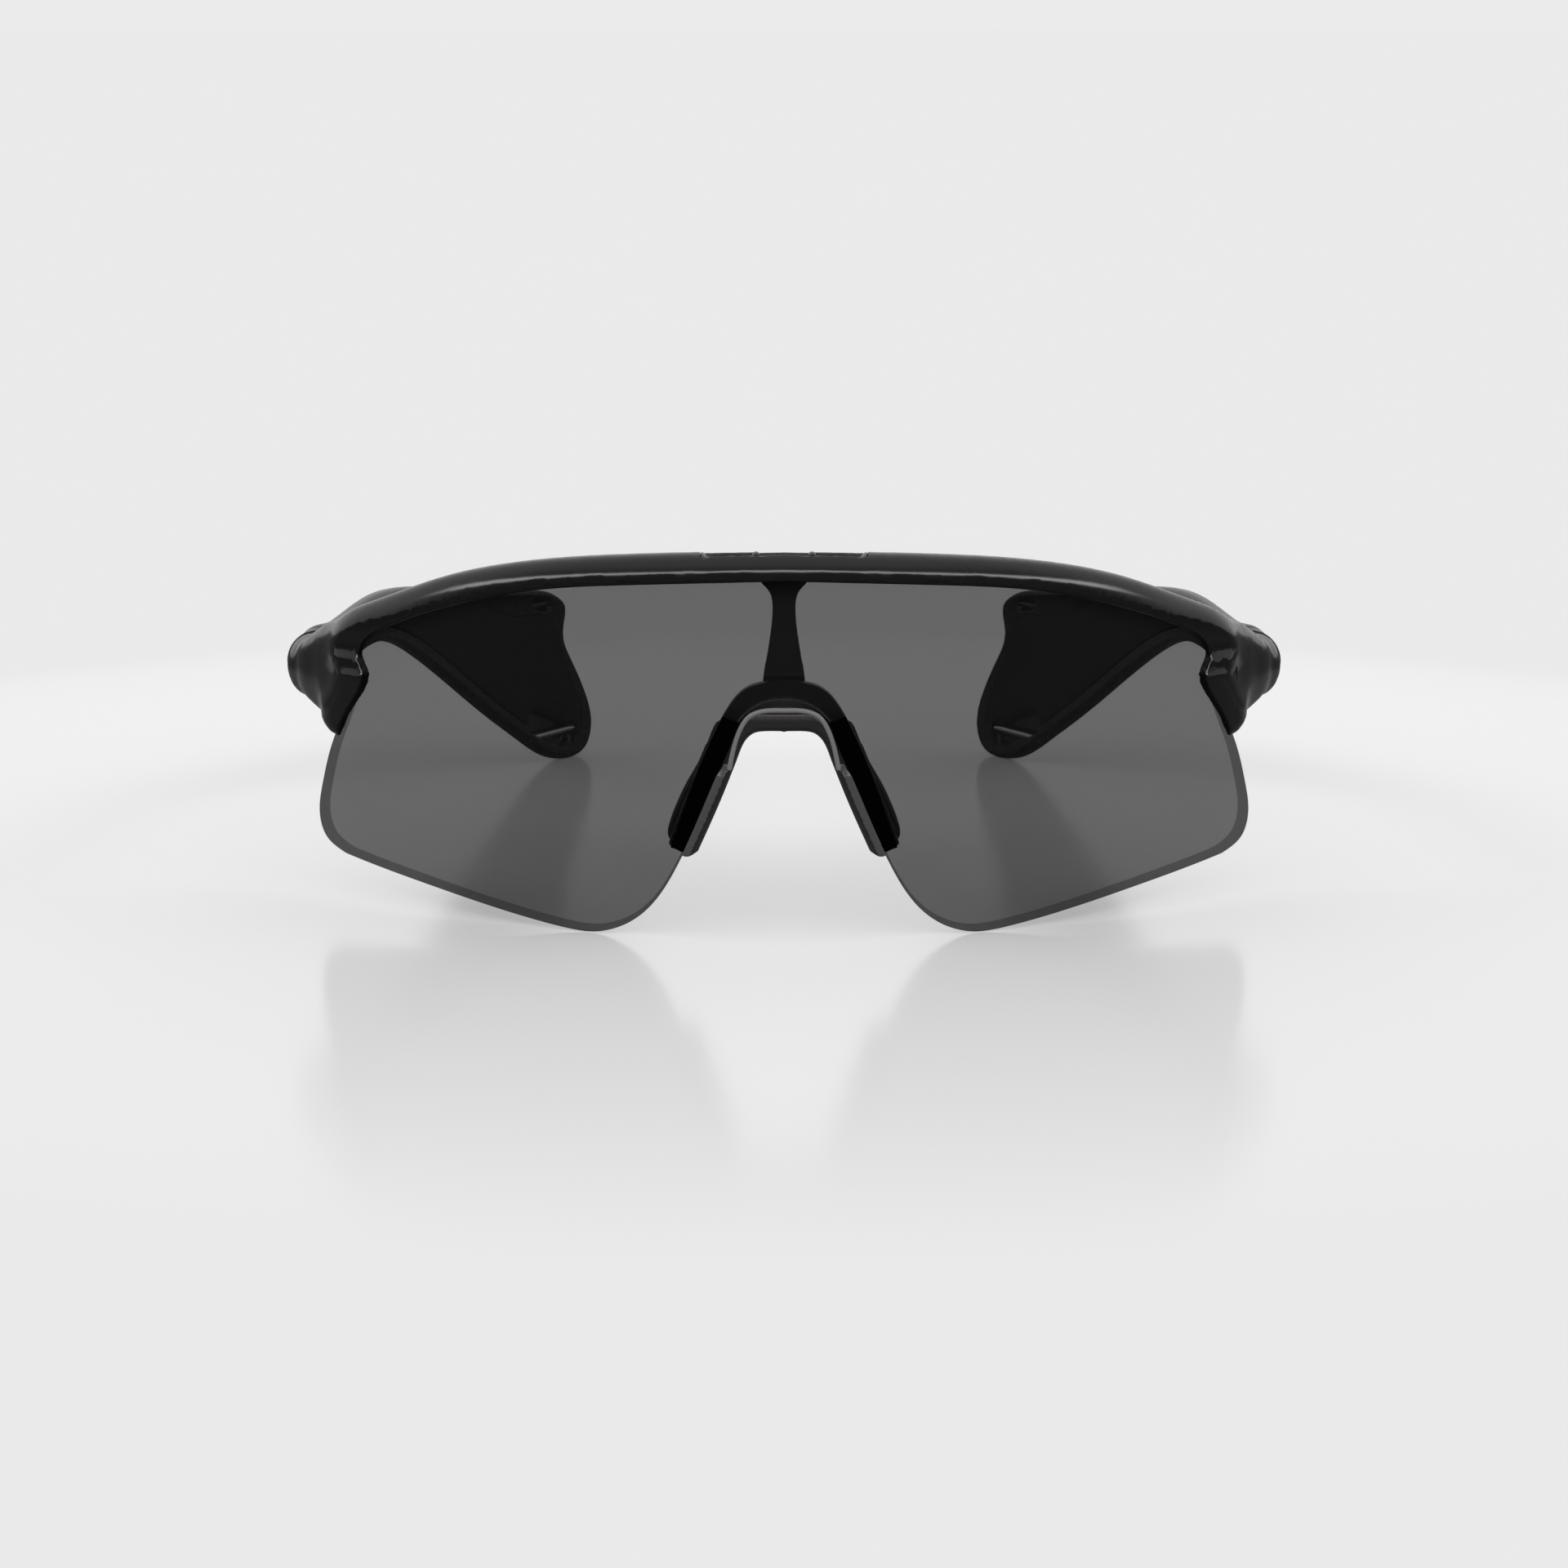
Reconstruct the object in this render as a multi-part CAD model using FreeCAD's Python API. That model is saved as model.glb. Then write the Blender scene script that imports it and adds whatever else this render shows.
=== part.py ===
"""Wraparound sport sunglasses: a one-piece shield lens hung from a brow bar, a nose piece on a central
stalk, and two fin-shaped temples that fold about upright screws in round hinge bulbs.

Axes: +X is the wearer's left, -Y is the way the lens faces, +Z is up. The model is drawn with z = 0 on
the surface that the lens and the temple tips rest on, and is moved at the end so that the origin is in the
middle of its footprint. Everything is in millimetres.
"""

import FreeCAD, Part
import os
from math import asin, cos, hypot, pi, sin, sqrt

Vector = FreeCAD.Vector
UP = Vector(0, 0, 1)
RIGHT = Vector(1, 0, 0)
BACK = Vector(0, 1, 0)

# ---------------------------------------------------------------- driving dimensions

# lens
lens_half_width = 69.0
lens_height = 53.4
lens_thickness = 1.8
lens_wrap_radius = 90.0       # plan radius of the front face at the equator
lens_fall_radius = 110.0      # side-view radius of the front face
lens_equator = 40.0           # height where the lens stands upright
lens_bow = 7.5                # how far the lens stands forward of y = 0 at the equator

# brow
face_height = 1.8             # upright front face of the brow
front_proud = 2.2             # front face of the brow in front of the lens
crown_rise = 2.1              # rounded top above the front face
brow_depth = 5.6              # how far the brow goes behind the lens face
rear_lip = 1.0                # how far the back of the brow hangs below its front
gasket_wall = 0.35

# hinge
hinge_x = lens_half_width + 1.0
hinge_y = 39.5
hinge_z = 33.5
bulb_radius = 4.2
bulb_half_height = 4.6
leaf_height = 3.0
leaf_width = 2.0
leaf_length = 13.0
knuckle_radius = 2.4
screw_radius = 0.75
screw_head_radius = 1.3
screw_head_height = 0.7
bushing_wall = 0.45
washer_thickness = 0.25

# temples
temple_reach = 119.7          # from the hinge axis to the rearmost point of the tail
temple_bow_radius = 236.0
temple_thickness = 2.4
head_radius = 4.85            # rounded front end of the arm, just larger than the bulb
head_half_length = 17.0
head_gap = 0.3
liner_thickness = 0.5
liner_sunk = 0.35
tail_skin = 0.5               # left outside the pockets in the tail
bar_sunk = 0.45               # bars inside the temple's middle surface, so that a cord passes behind
strap_bar_radius = 0.6
tip_bar_radius = 0.4

# nose piece and stalk
yoke_front = 0.9              # front lip of the yoke in front of the lens
yoke_back = 4.4               # back of the yoke behind the lens face
yoke_grip = 0.15              # room round the lens edge in the yoke
pad_depth = 8.5
stalk_thickness = 2.0
peg_radius = 0.7
small_screw_radius = 0.5
small_head_radius = 0.95
small_head_height = 0.5

# clearances
fit_gap = 0.05                # running and seated pieces
side_gap = 0.02               # pressed-in pieces

# vent trough in the top of the brow; fronts and backs are distances in front of the lens face
vent_half_length = 11.6
vent_floor = lens_height + 1.1
vent_front = 0.4
vent_back = -4.2
vent_bevel = 1.5
notch_half_length = 3.5

# stalk between the brow and the yoke, and its screws
stalk_top = lens_height - 0.2
stalk_front = -lens_thickness - gasket_wall - fit_gap
stalk_back = stalk_front - stalk_thickness
foot_back = -yoke_back - 1.9
foot_rise = 2.2               # foot of the stalk above the crown of the yoke
stalk_reach = 9.0             # half width that the stalk is cut from
screw_spots = (-1.9, 1.9)
stalk_screw_z = stalk_top - 1.0
stalk_screw_seat = -brow_depth + 0.55
yoke_screw_z = 36.1
yoke_screw_tip = -3.0
screw_seat_gap = 0.15         # the screw's flat head on the curved back of the foot

# hinge screw in the bulb
hinge_screw_foot = hinge_z - bulb_half_height + 0.25
hinge_screw_top = hinge_z + bulb_half_height - 1.1
leaf_pin_radius = 0.5
leaf_pin_spots = (6.8, 10.6)  # behind the hinge axis

# nose pads
peg_length = 1.6

# pockets in the tail of the temple: middle (y, z), length, height, tilt in degrees
STRAP_SLOT = ((147.3, 6.3), 13.6, 4.2, -21.0)
TIP_SLOT = ((144.9, 28.3), 5.4, 1.9, -12.0)
STRAP_BAR_MIDDLE = (148.4, 5.2)
strap_bar_length = 14.0
tip_bar_length = 8.6
BAR_POCKET_MIDDLE = (155.4, 5.2)

FAR = 20.0                    # well clear of the front, for the ends of cuts

# ---------------------------------------------------------------- drawing tools

PLAN_WIDTH = 69.0             # half width and height that the front outlines are drawn at
PLAN_HEIGHT = 53.4
lens_axis_y = lens_wrap_radius - lens_bow
hinge_middle = Vector(hinge_x, hinge_y, hinge_z)


def front_point(x, z):
    """A point of the front outlines, stretched to the lens size."""
    return (x * lens_half_width / PLAN_WIDTH, z * lens_height / PLAN_HEIGHT)


def front_points(points):
    return [front_point(x, z) for x, z in points]


def mirrored(points):
    """A run from the middle outwards, made into one run across both sides."""
    return [(-x, z) for x, z in reversed(points) if x > 0] + points


def lens_y(x, z, outward=0.0):
    """y of the surface that lies the given distance in front of the lens face."""
    fall = lens_fall_radius + outward
    rho = lens_wrap_radius - lens_fall_radius + sqrt(fall ** 2 - (z - lens_equator) ** 2)
    return lens_axis_y - sqrt(rho ** 2 - x ** 2)


def run_edge(points):
    """One edge through points: a straight line for two, a spline for more."""
    if len(points) == 2:
        return Part.LineSegment(points[0], points[1]).toShape()
    curve = Part.BSplineCurve()
    curve.interpolate(points)
    return curve.toShape()


def square_cut(runs, outward):
    """A block whose walls stand square to the lens and cross the given surface along the runs.

    Every wall lies on lines through the middle of the lens's curvature, so it is drawn as a ruled
    loft between two upright planes, one in front of the lens and one behind it.
    """
    wires = []
    for plane_y in (-3 * lens_bow, 0.55 * lens_axis_y):
        edges = []
        for run in runs:
            points = []
            for x, z in run:
                stretch = (lens_axis_y - plane_y) / (lens_axis_y - lens_y(x, z, outward))
                height = lens_equator + (z - lens_equator) * stretch
                points.append(Vector(x * stretch, plane_y, height))
            edges.append(run_edge(points))
        wires.append(Part.Wire(edges))
    return Part.makeLoft(wires, True, True)


def front_face(runs):
    """A face in the plane y = 0 whose border is a chain of runs of (x, z) points."""
    edges = [run_edge([Vector(x, 0, z) for x, z in run]) for run in runs]
    return Part.Face(Part.Wire(edges))


def side_face(runs):
    """A face in the plane x = 0 whose border is a chain of runs of (y, z) points."""
    edges = [run_edge([Vector(0, y, z) for y, z in run]) for run in runs]
    return Part.Face(Part.Wire(edges))


def prism(face, start, end, direction=BACK):
    """The face pushed from one distance to another along a direction."""
    moved = face.copy()
    moved.translate(direction * start)
    return moved.extrude(direction * (end - start))


def closed_run(points):
    return points + [points[0]]


def grown(points, amount):
    """Each point of an open run moved to its left by the amount."""
    result = []
    for index, (x, z) in enumerate(points):
        before = points[max(index - 1, 0)]
        after = points[min(index + 1, len(points) - 1)]
        along_x = after[0] - before[0]
        along_z = after[1] - before[1]
        length = hypot(along_x, along_z)
        result.append((x - along_z / length * amount, z + along_x / length * amount))
    return result


def lens_layer(inner, outer):
    """The layer between two distances in front of the lens face (negative is behind it)."""
    low = -15.0
    high = lens_height + 15.0
    centre = lens_wrap_radius - lens_fall_radius

    def arc(outward):
        fall = lens_fall_radius + outward
        ends = [centre + sqrt(fall ** 2 - (z - lens_equator) ** 2) for z in (low, high)]
        middle = Vector(centre + fall, 0, lens_equator)
        return Part.Arc(Vector(ends[0], 0, low), middle, Vector(ends[1], 0, high)), ends

    inner_arc, inner_ends = arc(inner)
    outer_arc, outer_ends = arc(outer)
    floor = Part.LineSegment(Vector(inner_ends[0], 0, low), Vector(outer_ends[0], 0, low))
    roof = Part.LineSegment(Vector(outer_ends[1], 0, high), Vector(inner_ends[1], 0, high))
    wire = Part.Wire([edge.toShape() for edge in (inner_arc, roof, outer_arc, floor)])
    layer = Part.Face(wire).revolve(Vector(0, 0, 0), UP, -180)
    layer.translate(Vector(0, lens_axis_y, 0))
    return layer


def lens_core(outward):
    """Everything behind the surface that lies a distance in front of the lens face."""
    return lens_layer(outward - 40.0, outward)


def disc(radius, height, x, y, z):
    return Part.makeCylinder(radius, height, Vector(x, y, z))


def box(x_range, y_range, z_range):
    corner = Vector(x_range[0], y_range[0], z_range[0])
    sizes = [pair[1] - pair[0] for pair in (x_range, y_range, z_range)]
    return Part.makeBox(*sizes, corner)


def turned_egg(centre, along, half_length, radius):
    """An egg turned about an axis through its centre, along UP or along BACK."""
    across = RIGHT
    tip = centre + along * half_length
    side = centre + across * radius
    if half_length > radius:
        curve = Part.Ellipse(tip, side, centre)
    else:
        curve = Part.Ellipse(side, tip, centre)
    border = Part.Face(Part.Wire([curve.toShape()]))
    big = 3 * max(half_length, radius)
    keep = Part.makeBox(big, 2 * big, 2 * big, centre - Vector(0, big, big))
    return border.common(keep).Faces[0].revolve(centre, along, 360)


def rounded_section(x_range, z_range, y, squareness=2.8, count=16):
    """A closed, soft-cornered outline in an upright plane across y."""
    middle_x = sum(x_range) / 2
    middle_z = sum(z_range) / 2
    half_x = (x_range[1] - x_range[0]) / 2
    half_z = (z_range[1] - z_range[0]) / 2
    points = []
    for step in range(count):
        turn = 2 * pi * step / count
        power = 2 / squareness
        x = middle_x + half_x * abs(cos(turn)) ** power * (1 if cos(turn) >= 0 else -1)
        z = middle_z + half_z * abs(sin(turn)) ** power * (1 if sin(turn) >= 0 else -1)
        points.append(Vector(x, y, z))
    curve = Part.BSplineCurve()
    curve.interpolate(points, PeriodicFlag=True)
    return Part.Wire([curve.toShape()])


def largest(shape):
    return max(shape.Solids, key=lambda solid: solid.Volume)


def other_side(shape):
    return shape.mirror(Vector(0, 0, 0), RIGHT)


# ---------------------------------------------------------------- front outlines, right half, (x, z)

# lens: along the top, round the outer corner, along the bottom and up the nose notch
LENS_TOP = [(0, 53.4), (22.6, 52.5), (38.5, 50.7), (49.0, 47.9), (57.0, 44.6), (61.4, 41.6)]
LENS_SIDE = [(61.4, 41.6), (63.1, 38.6), (62.7, 36.0), (63.2, 32.4), (64.6, 28.4), (66.5, 23.6),
             (68.2, 17.6), (69.0, 12.2), (67.9, 8.8), (64.9, 7.0)]
LENS_BOTTOM = [(64.9, 7.0), (51.0, 4.4), (42.8, 2.6), (34.8, 0.9), (30.8, 0.2), (27.4, 0.0),
               (24.1, 0.8), (20.9, 2.7), (17.3, 6.9), (14.4, 12.4)]
LENS_NOTCH = [(14.4, 12.4), (11.4, 20.4), (8.6, 27.4), (6.6, 31.8), (3.6, 34.6), (0, 35.4)]

# window: the lower border of the brow and the inner border of the end piece
WINDOW_TOP = [(0, 52.3), (22.6, 51.4), (38.5, 49.6), (49.0, 46.7), (55.8, 44.0), (59.8, 41.7)]
WINDOW_SIDE = [(59.8, 41.7), (61.0, 40.5), (61.8, 38.8), (61.3, 37.2), (60.8, 35.9), (61.0, 34.5),
               (62.4, 32.0), (64.3, 29.6)]

# front edge of the brow's rounded top
BROW_EDGE = [(0, 54.0), (22.6, 53.2), (38.4, 51.4), (49.0, 48.5), (58.6, 44.6), (63.2, 41.8)]

# nose yoke: outside from the crown of the arch to the foot of the arm, foot, and the opening
YOKE_OUTSIDE = [(0, 38.0), (2.9, 37.6), (5.1, 36.9), (6.9, 35.3), (8.5, 32.8), (12.6, 23.9),
                (15.4, 16.4), (16.3, 13.9)]
YOKE_FOOT = [(16.3, 13.9), (13.7, 12.6), (12.1, 13.2)]
YOKE_OPENING = [(12.1, 13.2), (9.2, 20.0), (6.3, 27.6), (5.4, 29.6), (4.2, 30.7), (2.6, 31.0), (0, 31.0)]


# stalk, from its head in the brow down to its foot
STALK_SIDE = [(3.2, 55.0), (3.2, 51.4), (2.2, 50.3), (1.6, 47.9), (1.8, 45.1), (2.5, 40.5), (3.0, 36.8),
              (3.0, 34.6)]
YOKE_CROWN = YOKE_OUTSIDE[0][1]


def half_to_whole(runs):
    """Runs down the right half, starting and ending on x = 0, closed through the left half."""
    runs = [front_points(run) for run in runs]
    first = mirrored(runs[0])
    last = mirrored(list(reversed(runs[-1])))
    right = runs[1:-1]
    left = [[(-x, z) for x, z in reversed(run)] for run in right]
    return [first] + right + [list(reversed(last))] + list(reversed(left))


def lens_runs(room):
    """The lens outline with room all round it. The runs go clockwise, so left is outside."""
    top = grown(LENS_TOP, room)
    side = grown(LENS_SIDE, room)
    bottom = grown(LENS_BOTTOM, room)
    notch = grown(LENS_NOTCH, room)
    top[0] = (0, top[0][1])
    notch[-1] = (0, notch[-1][1])
    for before, after in ((top, side), (side, bottom), (bottom, notch)):
        joint = ((before[-1][0] + after[0][0]) / 2, (before[-1][1] + after[0][1]) / 2)
        before[-1] = joint
        after[0] = joint
    return half_to_whole([top, side, bottom, notch])


def lens_block(room, behind, before):
    """The lens with room round its edge and on both faces."""
    return lens_layer(-lens_thickness - behind, before).common(square_cut(lens_runs(room), 0))


# ---------------------------------------------------------------- front pieces

def make_shield_lens():
    return lens_block(0, 0, 0)


def brow_sections():
    """Sections of the brow bar in upright planes through the lens's turning axis."""
    edge = Part.BSplineCurve()
    edge.interpolate([Vector(x, 0, z) for x, z in front_points(mirrored(BROW_EDGE))])
    reach = front_point(BROW_EDGE[-1][0], 0)[0]
    count = 13
    wires = []
    for step in range(count):
        x = reach * (2 * step / (count - 1) - 1)
        on_edge = edge.intersectCC(Part.LineSegment(Vector(x, 0, -10), Vector(x, 0, 2 * lens_height)))
        z = on_edge[0].Z
        slope = 1 + 0.35 * (abs(x) / reach) ** 4
        rise = crown_rise * slope
        radius = lens_axis_y - lens_y(0, z)
        turn = asin(x / (radius + front_proud))

        def at(outward, height, turn=turn, radius=radius):
            out = radius + outward
            return Vector(out * sin(turn), lens_axis_y - out * cos(turn), height)

        face_foot = z - face_height * slope
        front = [at(front_proud, face_foot), at(front_proud, z)]
        back_foot = at(-brow_depth + 0.6, face_foot - rear_lip)
        crown = [front[1], at(front_proud - 1.1, z + 0.66 * rise), at(-1.1, z + rise),
                 at(-3.4, z + 0.72 * rise), at(-brow_depth, z - 0.5), back_foot]
        edges = [run_edge(front), run_edge(crown), run_edge([back_foot, front[0]])]
        wires.append(Part.Wire(edges))
    return wires


def cheek_sections():
    """Sections of the left cheek, from the end piece back to the hinge bulb."""
    corner = lens_half_width - 5.0
    corner_y = lens_y(corner, hinge_z, front_proud)
    to_hinge = hinge_y - corner_y
    top = front_point(0, BROW_EDGE[-1][1])[1]
    foot = hinge_z - bulb_half_height
    stations = [
        (-0.12, (corner - 5.2, corner + 0.3), (foot + 0.2, top + 0.3)),
        (0.05, (corner - 4.2, corner + 1.0), (foot - 0.5, top + 1.2)),
        (0.30, (corner - 2.2, corner + 3.2), (foot - 1.2, top + 1.3)),
        (0.55, (corner + 0.3, corner + 6.0), (foot - 0.6, top - 0.6)),
        (0.80, (hinge_x - bulb_radius + 0.9, hinge_x + bulb_radius - 0.8), (foot + 0.1, hinge_z + 5.4)),
        (1.00, (hinge_x - bulb_radius + 0.9, hinge_x + bulb_radius - 0.6), (foot + 0.7, hinge_z + 4.0)),
    ]
    return [rounded_section(xs, zs, corner_y + share * to_hinge) for share, xs, zs in stations]


def window_runs(below):
    """The border of the brow round the window, closed far below, or a little inside it."""
    top = [(x, z - below) for x, z in front_points(WINDOW_TOP)]
    side = [(x - below, z) for x, z in front_points(WINDOW_SIDE)]
    side[0] = top[-1]
    return top, side


def window_cut():
    """What the window takes out of the brow."""
    top, side = window_runs(0)
    floor = 8.0
    right = [side, [side[-1], (side[-1][0], floor)]]
    left = [[(-x, z) for x, z in reversed(run)] for run in right]
    runs = [mirrored(top)] + right + [[(side[-1][0], floor), (-side[-1][0], floor)]] + list(reversed(left))
    return square_cut(runs, front_proud)


def vent_recess(gap):
    """The trough in the top of the brow, narrowed by a gap all round."""
    half = vent_half_length - gap
    floor = vent_floor + gap
    roof = vent_floor + 6
    shoulder = floor + vent_bevel / 2
    corners = [(-half, roof), (-half, shoulder), (-half + vent_bevel, floor), (half - vent_bevel, floor),
               (half, shoulder), (half, roof), (-half, roof)]
    face = front_face([list(pair) for pair in zip(corners, corners[1:])])
    return prism(face, -3 * lens_bow, 3 * lens_bow).common(lens_layer(vent_back + gap, vent_front - gap))


def make_brow_vent_insert():
    across = (-FAR, FAR)
    insert = vent_recess(fit_gap).common(box(across, across, (0, vent_floor + 1.35)))
    front_step = lens_layer(-1.3, 3).common(box(across, across, (vent_floor + 0.45, vent_floor + 6)))
    notch = box((-notch_half_length, notch_half_length), across, (vent_floor + 0.6, vent_floor + 6))
    insert = insert.cut(front_step).cut(notch)
    lips = []
    for side in (-1, 1):
        middle = side * (notch_half_length + 0.5)
        lip = box((middle - 0.5, middle + 0.5), across, (vent_floor + 0.3, vent_floor + 1.25))
        lips.append(lip.common(lens_layer(-3.0, -0.2)))
    return insert.fuse(lips).removeSplitter()


def groove(gap, foot):
    """The slot in the brow that holds the lens edge and its gasket, down to a height."""
    room = gasket_wall + gap
    return lens_block(room, room, room).common(upper_region(0.3, foot))


def upper_region(below, foot):
    """Everything above and outside the window border, starting a little inside the window."""
    top, side = window_runs(below)
    roof = lens_height + 6
    wide = lens_half_width + 1
    inner = side[-1][0]
    right = [side, [side[-1], (inner, foot)], [(inner, foot), (wide, foot)], [(wide, foot), (wide, roof)]]
    left = [[(-x, z) for x, z in reversed(run)] for run in right]
    runs = [mirrored(top)] + right + [[(wide, roof), (-wide, roof)]] + list(reversed(left))
    return square_cut(runs, front_proud)


def make_lens_gasket():
    return groove(0, hinge_z - bulb_half_height).cut(make_shield_lens())


def hinge_slot():
    """Room in the left bulb for the hinge leaf through its whole swing."""
    half = leaf_height / 2 + washer_thickness + fit_gap
    low = hinge_z - half
    reach = bulb_radius + 4
    round_part = disc(knuckle_radius + head_gap, 2 * half, hinge_x, hinge_y, low)
    side = leaf_width / 2 + head_gap
    swing = box((hinge_x - reach, hinge_x + side), (hinge_y - side, hinge_y + reach), (low, low + 2 * half))
    return round_part.fuse(swing)


def make_hinge_screw():
    foot = hinge_screw_foot
    head = disc(screw_head_radius, screw_head_height, hinge_x, hinge_y, foot)
    shaft = disc(screw_radius, hinge_screw_top - foot, hinge_x, hinge_y, foot)
    driver = disc(screw_radius * 0.7, screw_head_height / 2, hinge_x, hinge_y, foot)
    return head.fuse(shaft).removeSplitter().cut(driver)


def hinge_screw_hole():
    foot = hinge_z - bulb_half_height - 1
    seat = hinge_screw_foot + screw_head_height + side_gap
    top = hinge_screw_top + side_gap
    head = disc(screw_head_radius + fit_gap, seat - foot, hinge_x, hinge_y, foot)
    return head.fuse(disc(screw_radius + side_gap, top - foot, hinge_x, hinge_y, foot))


def make_hinge_washers():
    rings = []
    for low in (hinge_z - leaf_height / 2 - fit_gap / 2 - washer_thickness,
                hinge_z + leaf_height / 2 + fit_gap / 2):
        ring = disc(knuckle_radius - 0.2, washer_thickness, hinge_x, hinge_y, low)
        rings.append(ring.cut(disc(screw_radius + fit_gap, washer_thickness, hinge_x, hinge_y, low)))
    return Part.Compound(rings)


def stalk_outline(gap):
    right = front_points([(half_width + gap, z) for half_width, z in STALK_SIDE])
    right[0] = (right[0][0], stalk_top + gap)
    left = [(-x, z) for x, z in reversed(right)]
    upper = [right[0], right[1]]
    return front_face([upper, right[1:], [right[-1], left[0]], left[:-1], [left[-2], left[-1]],
                       [left[-1], right[0]]])


def make_bridge_stalk():
    blank = prism(stalk_outline(0), -FAR, FAR)
    above_yoke = front_point(0, YOKE_CROWN)[1] + 2 * fit_gap
    foot_top = above_yoke + foot_rise
    wide = (-stalk_reach, stalk_reach)
    deep = (-FAR, FAR)
    strip = lens_layer(stalk_back, stalk_front).common(box(wide, deep, (above_yoke, 2 * lens_height)))
    foot = lens_layer(foot_back, -yoke_back - fit_gap).common(box(wide, deep, (0, foot_top)))
    neck = lens_layer(foot_back, stalk_front).common(box(wide, deep, (above_yoke, foot_top)))
    stalk = blank.common(strip.fuse([foot, neck])).removeSplitter()
    hole_radius = small_screw_radius + side_gap
    holes = [screw_shaft(x, stalk_screw_z, stalk_front + 1, -FAR, hole_radius) for x in screw_spots]
    holes.append(screw_shaft(0, front_point(0, yoke_screw_z)[1], 0, -FAR, hole_radius))
    return stalk.cut(holes[0].fuse(holes[1:]))


def screw_shaft(x, z, start, end, radius):
    """A level cylinder between two distances in front of the lens face at x = 0."""
    first = lens_y(0, z, 0) - start
    last = lens_y(0, z, 0) - end
    return Part.makeCylinder(radius, last - first, Vector(x, first, z), BACK)


def small_screw(x, z, tip, seat):
    """A screw put in from behind: its tip, and the seat that its head lies on."""
    shaft = screw_shaft(x, z, tip, seat - small_head_height, small_screw_radius)
    head = screw_shaft(x, z, seat, seat - small_head_height, small_head_radius)
    slot_z = (z - small_screw_radius * 0.35, z + small_screw_radius * 0.35)
    back = lens_y(0, z, 0) - seat + small_head_height
    slot = box((x - 2, x + 2), (back - 0.25, back + 1), slot_z)
    return head.fuse(shaft).removeSplitter().cut(slot)


def make_stalk_screws():
    tip = stalk_front - 0.4
    return Part.Compound([small_screw(x, stalk_screw_z, tip, stalk_screw_seat) for x in screw_spots])


def make_yoke_screw():
    z = front_point(0, yoke_screw_z)[1]
    return small_screw(0, z, yoke_screw_tip, foot_back - screw_seat_gap)


def make_brow_frame():
    bar = Part.makeLoft(brow_sections(), True, False)
    cheek = Part.makeLoft(cheek_sections(), True, False)
    bulb = turned_egg(hinge_middle, UP, bulb_half_height, bulb_radius)
    left = cheek.fuse(bulb).common(lens_core(front_proud))
    brow = bar.fuse([left, other_side(left)])
    cuts = [window_cut(), groove(0.03, hinge_z - 2 * bulb_half_height), vent_recess(0)]
    for cut in (hinge_slot(), hinge_screw_hole()):
        cuts += [cut, other_side(cut)]
    stalk_layer = lens_layer(stalk_back - fit_gap, stalk_front + fit_gap)
    cuts.append(prism(stalk_outline(fit_gap), -FAR, FAR).common(stalk_layer))
    for x in screw_spots:
        cuts.append(screw_shaft(x, stalk_screw_z, stalk_front, -FAR, small_screw_radius + side_gap))
        cuts.append(screw_shaft(x, stalk_screw_z, stalk_screw_seat, -FAR, small_head_radius + fit_gap))
    for cut in cuts:
        brow = brow.cut(cut)
    return brow


def yoke_face():
    return front_face(half_to_whole([YOKE_OUTSIDE, YOKE_FOOT, YOKE_OPENING]))


def make_nose_yoke():
    whole = prism(yoke_face(), -FAR, FAR)
    body = lens_layer(-yoke_back, yoke_front).common(whole)
    body = body.cut(lens_block(yoke_grip, yoke_grip, yoke_grip))
    arch_top = front_point(0, 33.6)[1]
    above_arch = box((-FAR, FAR), (-FAR, FAR), (arch_top, 2 * lens_height))
    body = body.cut(above_arch.common(lens_layer(-lens_thickness - yoke_grip, FAR / 2)))
    hole_z = front_point(0, yoke_screw_z)[1]
    hole = screw_shaft(0, hole_z, yoke_screw_tip + 0.4, -FAR, small_screw_radius + side_gap)
    body = body.cut(hole)
    for x, z in peg_spots():
        for side in (-1, 1):
            body = body.cut(peg(side * x, z, side_gap))
    return largest(body)


def peg_spots():
    return front_points([(9.9, 25.6), (12.6, 18.2)])


def peg(x, z, gap):
    y = lens_y(x, z, -yoke_back)
    start = y - peg_length - gap
    return Part.makeCylinder(peg_radius + gap, peg_length + gap + 2, Vector(x, start, z), BACK)


def pad_section(points, depth):
    y = lens_y(*front_point(12.0, 24.0), -yoke_back) + depth
    curve = Part.BSplineCurve()
    curve.interpolate([Vector(x, y, z) for x, z in front_points(points)], PeriodicFlag=True)
    return Part.Wire([curve.toShape()])


def make_nose_pad():
    front = [(8.4, 33.4), (10.3, 30.4), (13.3, 23.4), (15.6, 17.2), (15.5, 14.2), (13.8, 13.6), (12.4, 15.4),
             (10.4, 20.6), (8.0, 27.0), (7.1, 31.6)]
    middle = [(9.6, 32.0), (11.9, 28.6), (14.8, 22.2), (16.6, 16.8), (16.4, 14.0), (14.9, 13.3),
              (13.6, 15.2), (11.6, 20.4), (9.2, 26.4), (8.3, 30.6)]
    back = [(11.0, 28.0), (12.7, 25.4), (15.2, 20.2), (16.7, 16.4), (16.5, 14.2), (15.4, 13.8), (14.4, 15.4),
            (12.8, 19.4), (11.0, 24.0), (10.2, 26.8)]
    pad = Part.makeLoft([pad_section(front, -peg_length), pad_section(middle, 0.45 * pad_depth),
                         pad_section(back, pad_depth)], True, False)
    pad = pad.common(lens_core(-yoke_back - fit_gap))
    for x, z in peg_spots():
        pad = pad.fuse(peg(x, z, 0))
    return pad


# ---------------------------------------------------------------- temples, drawn on the left side

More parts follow.
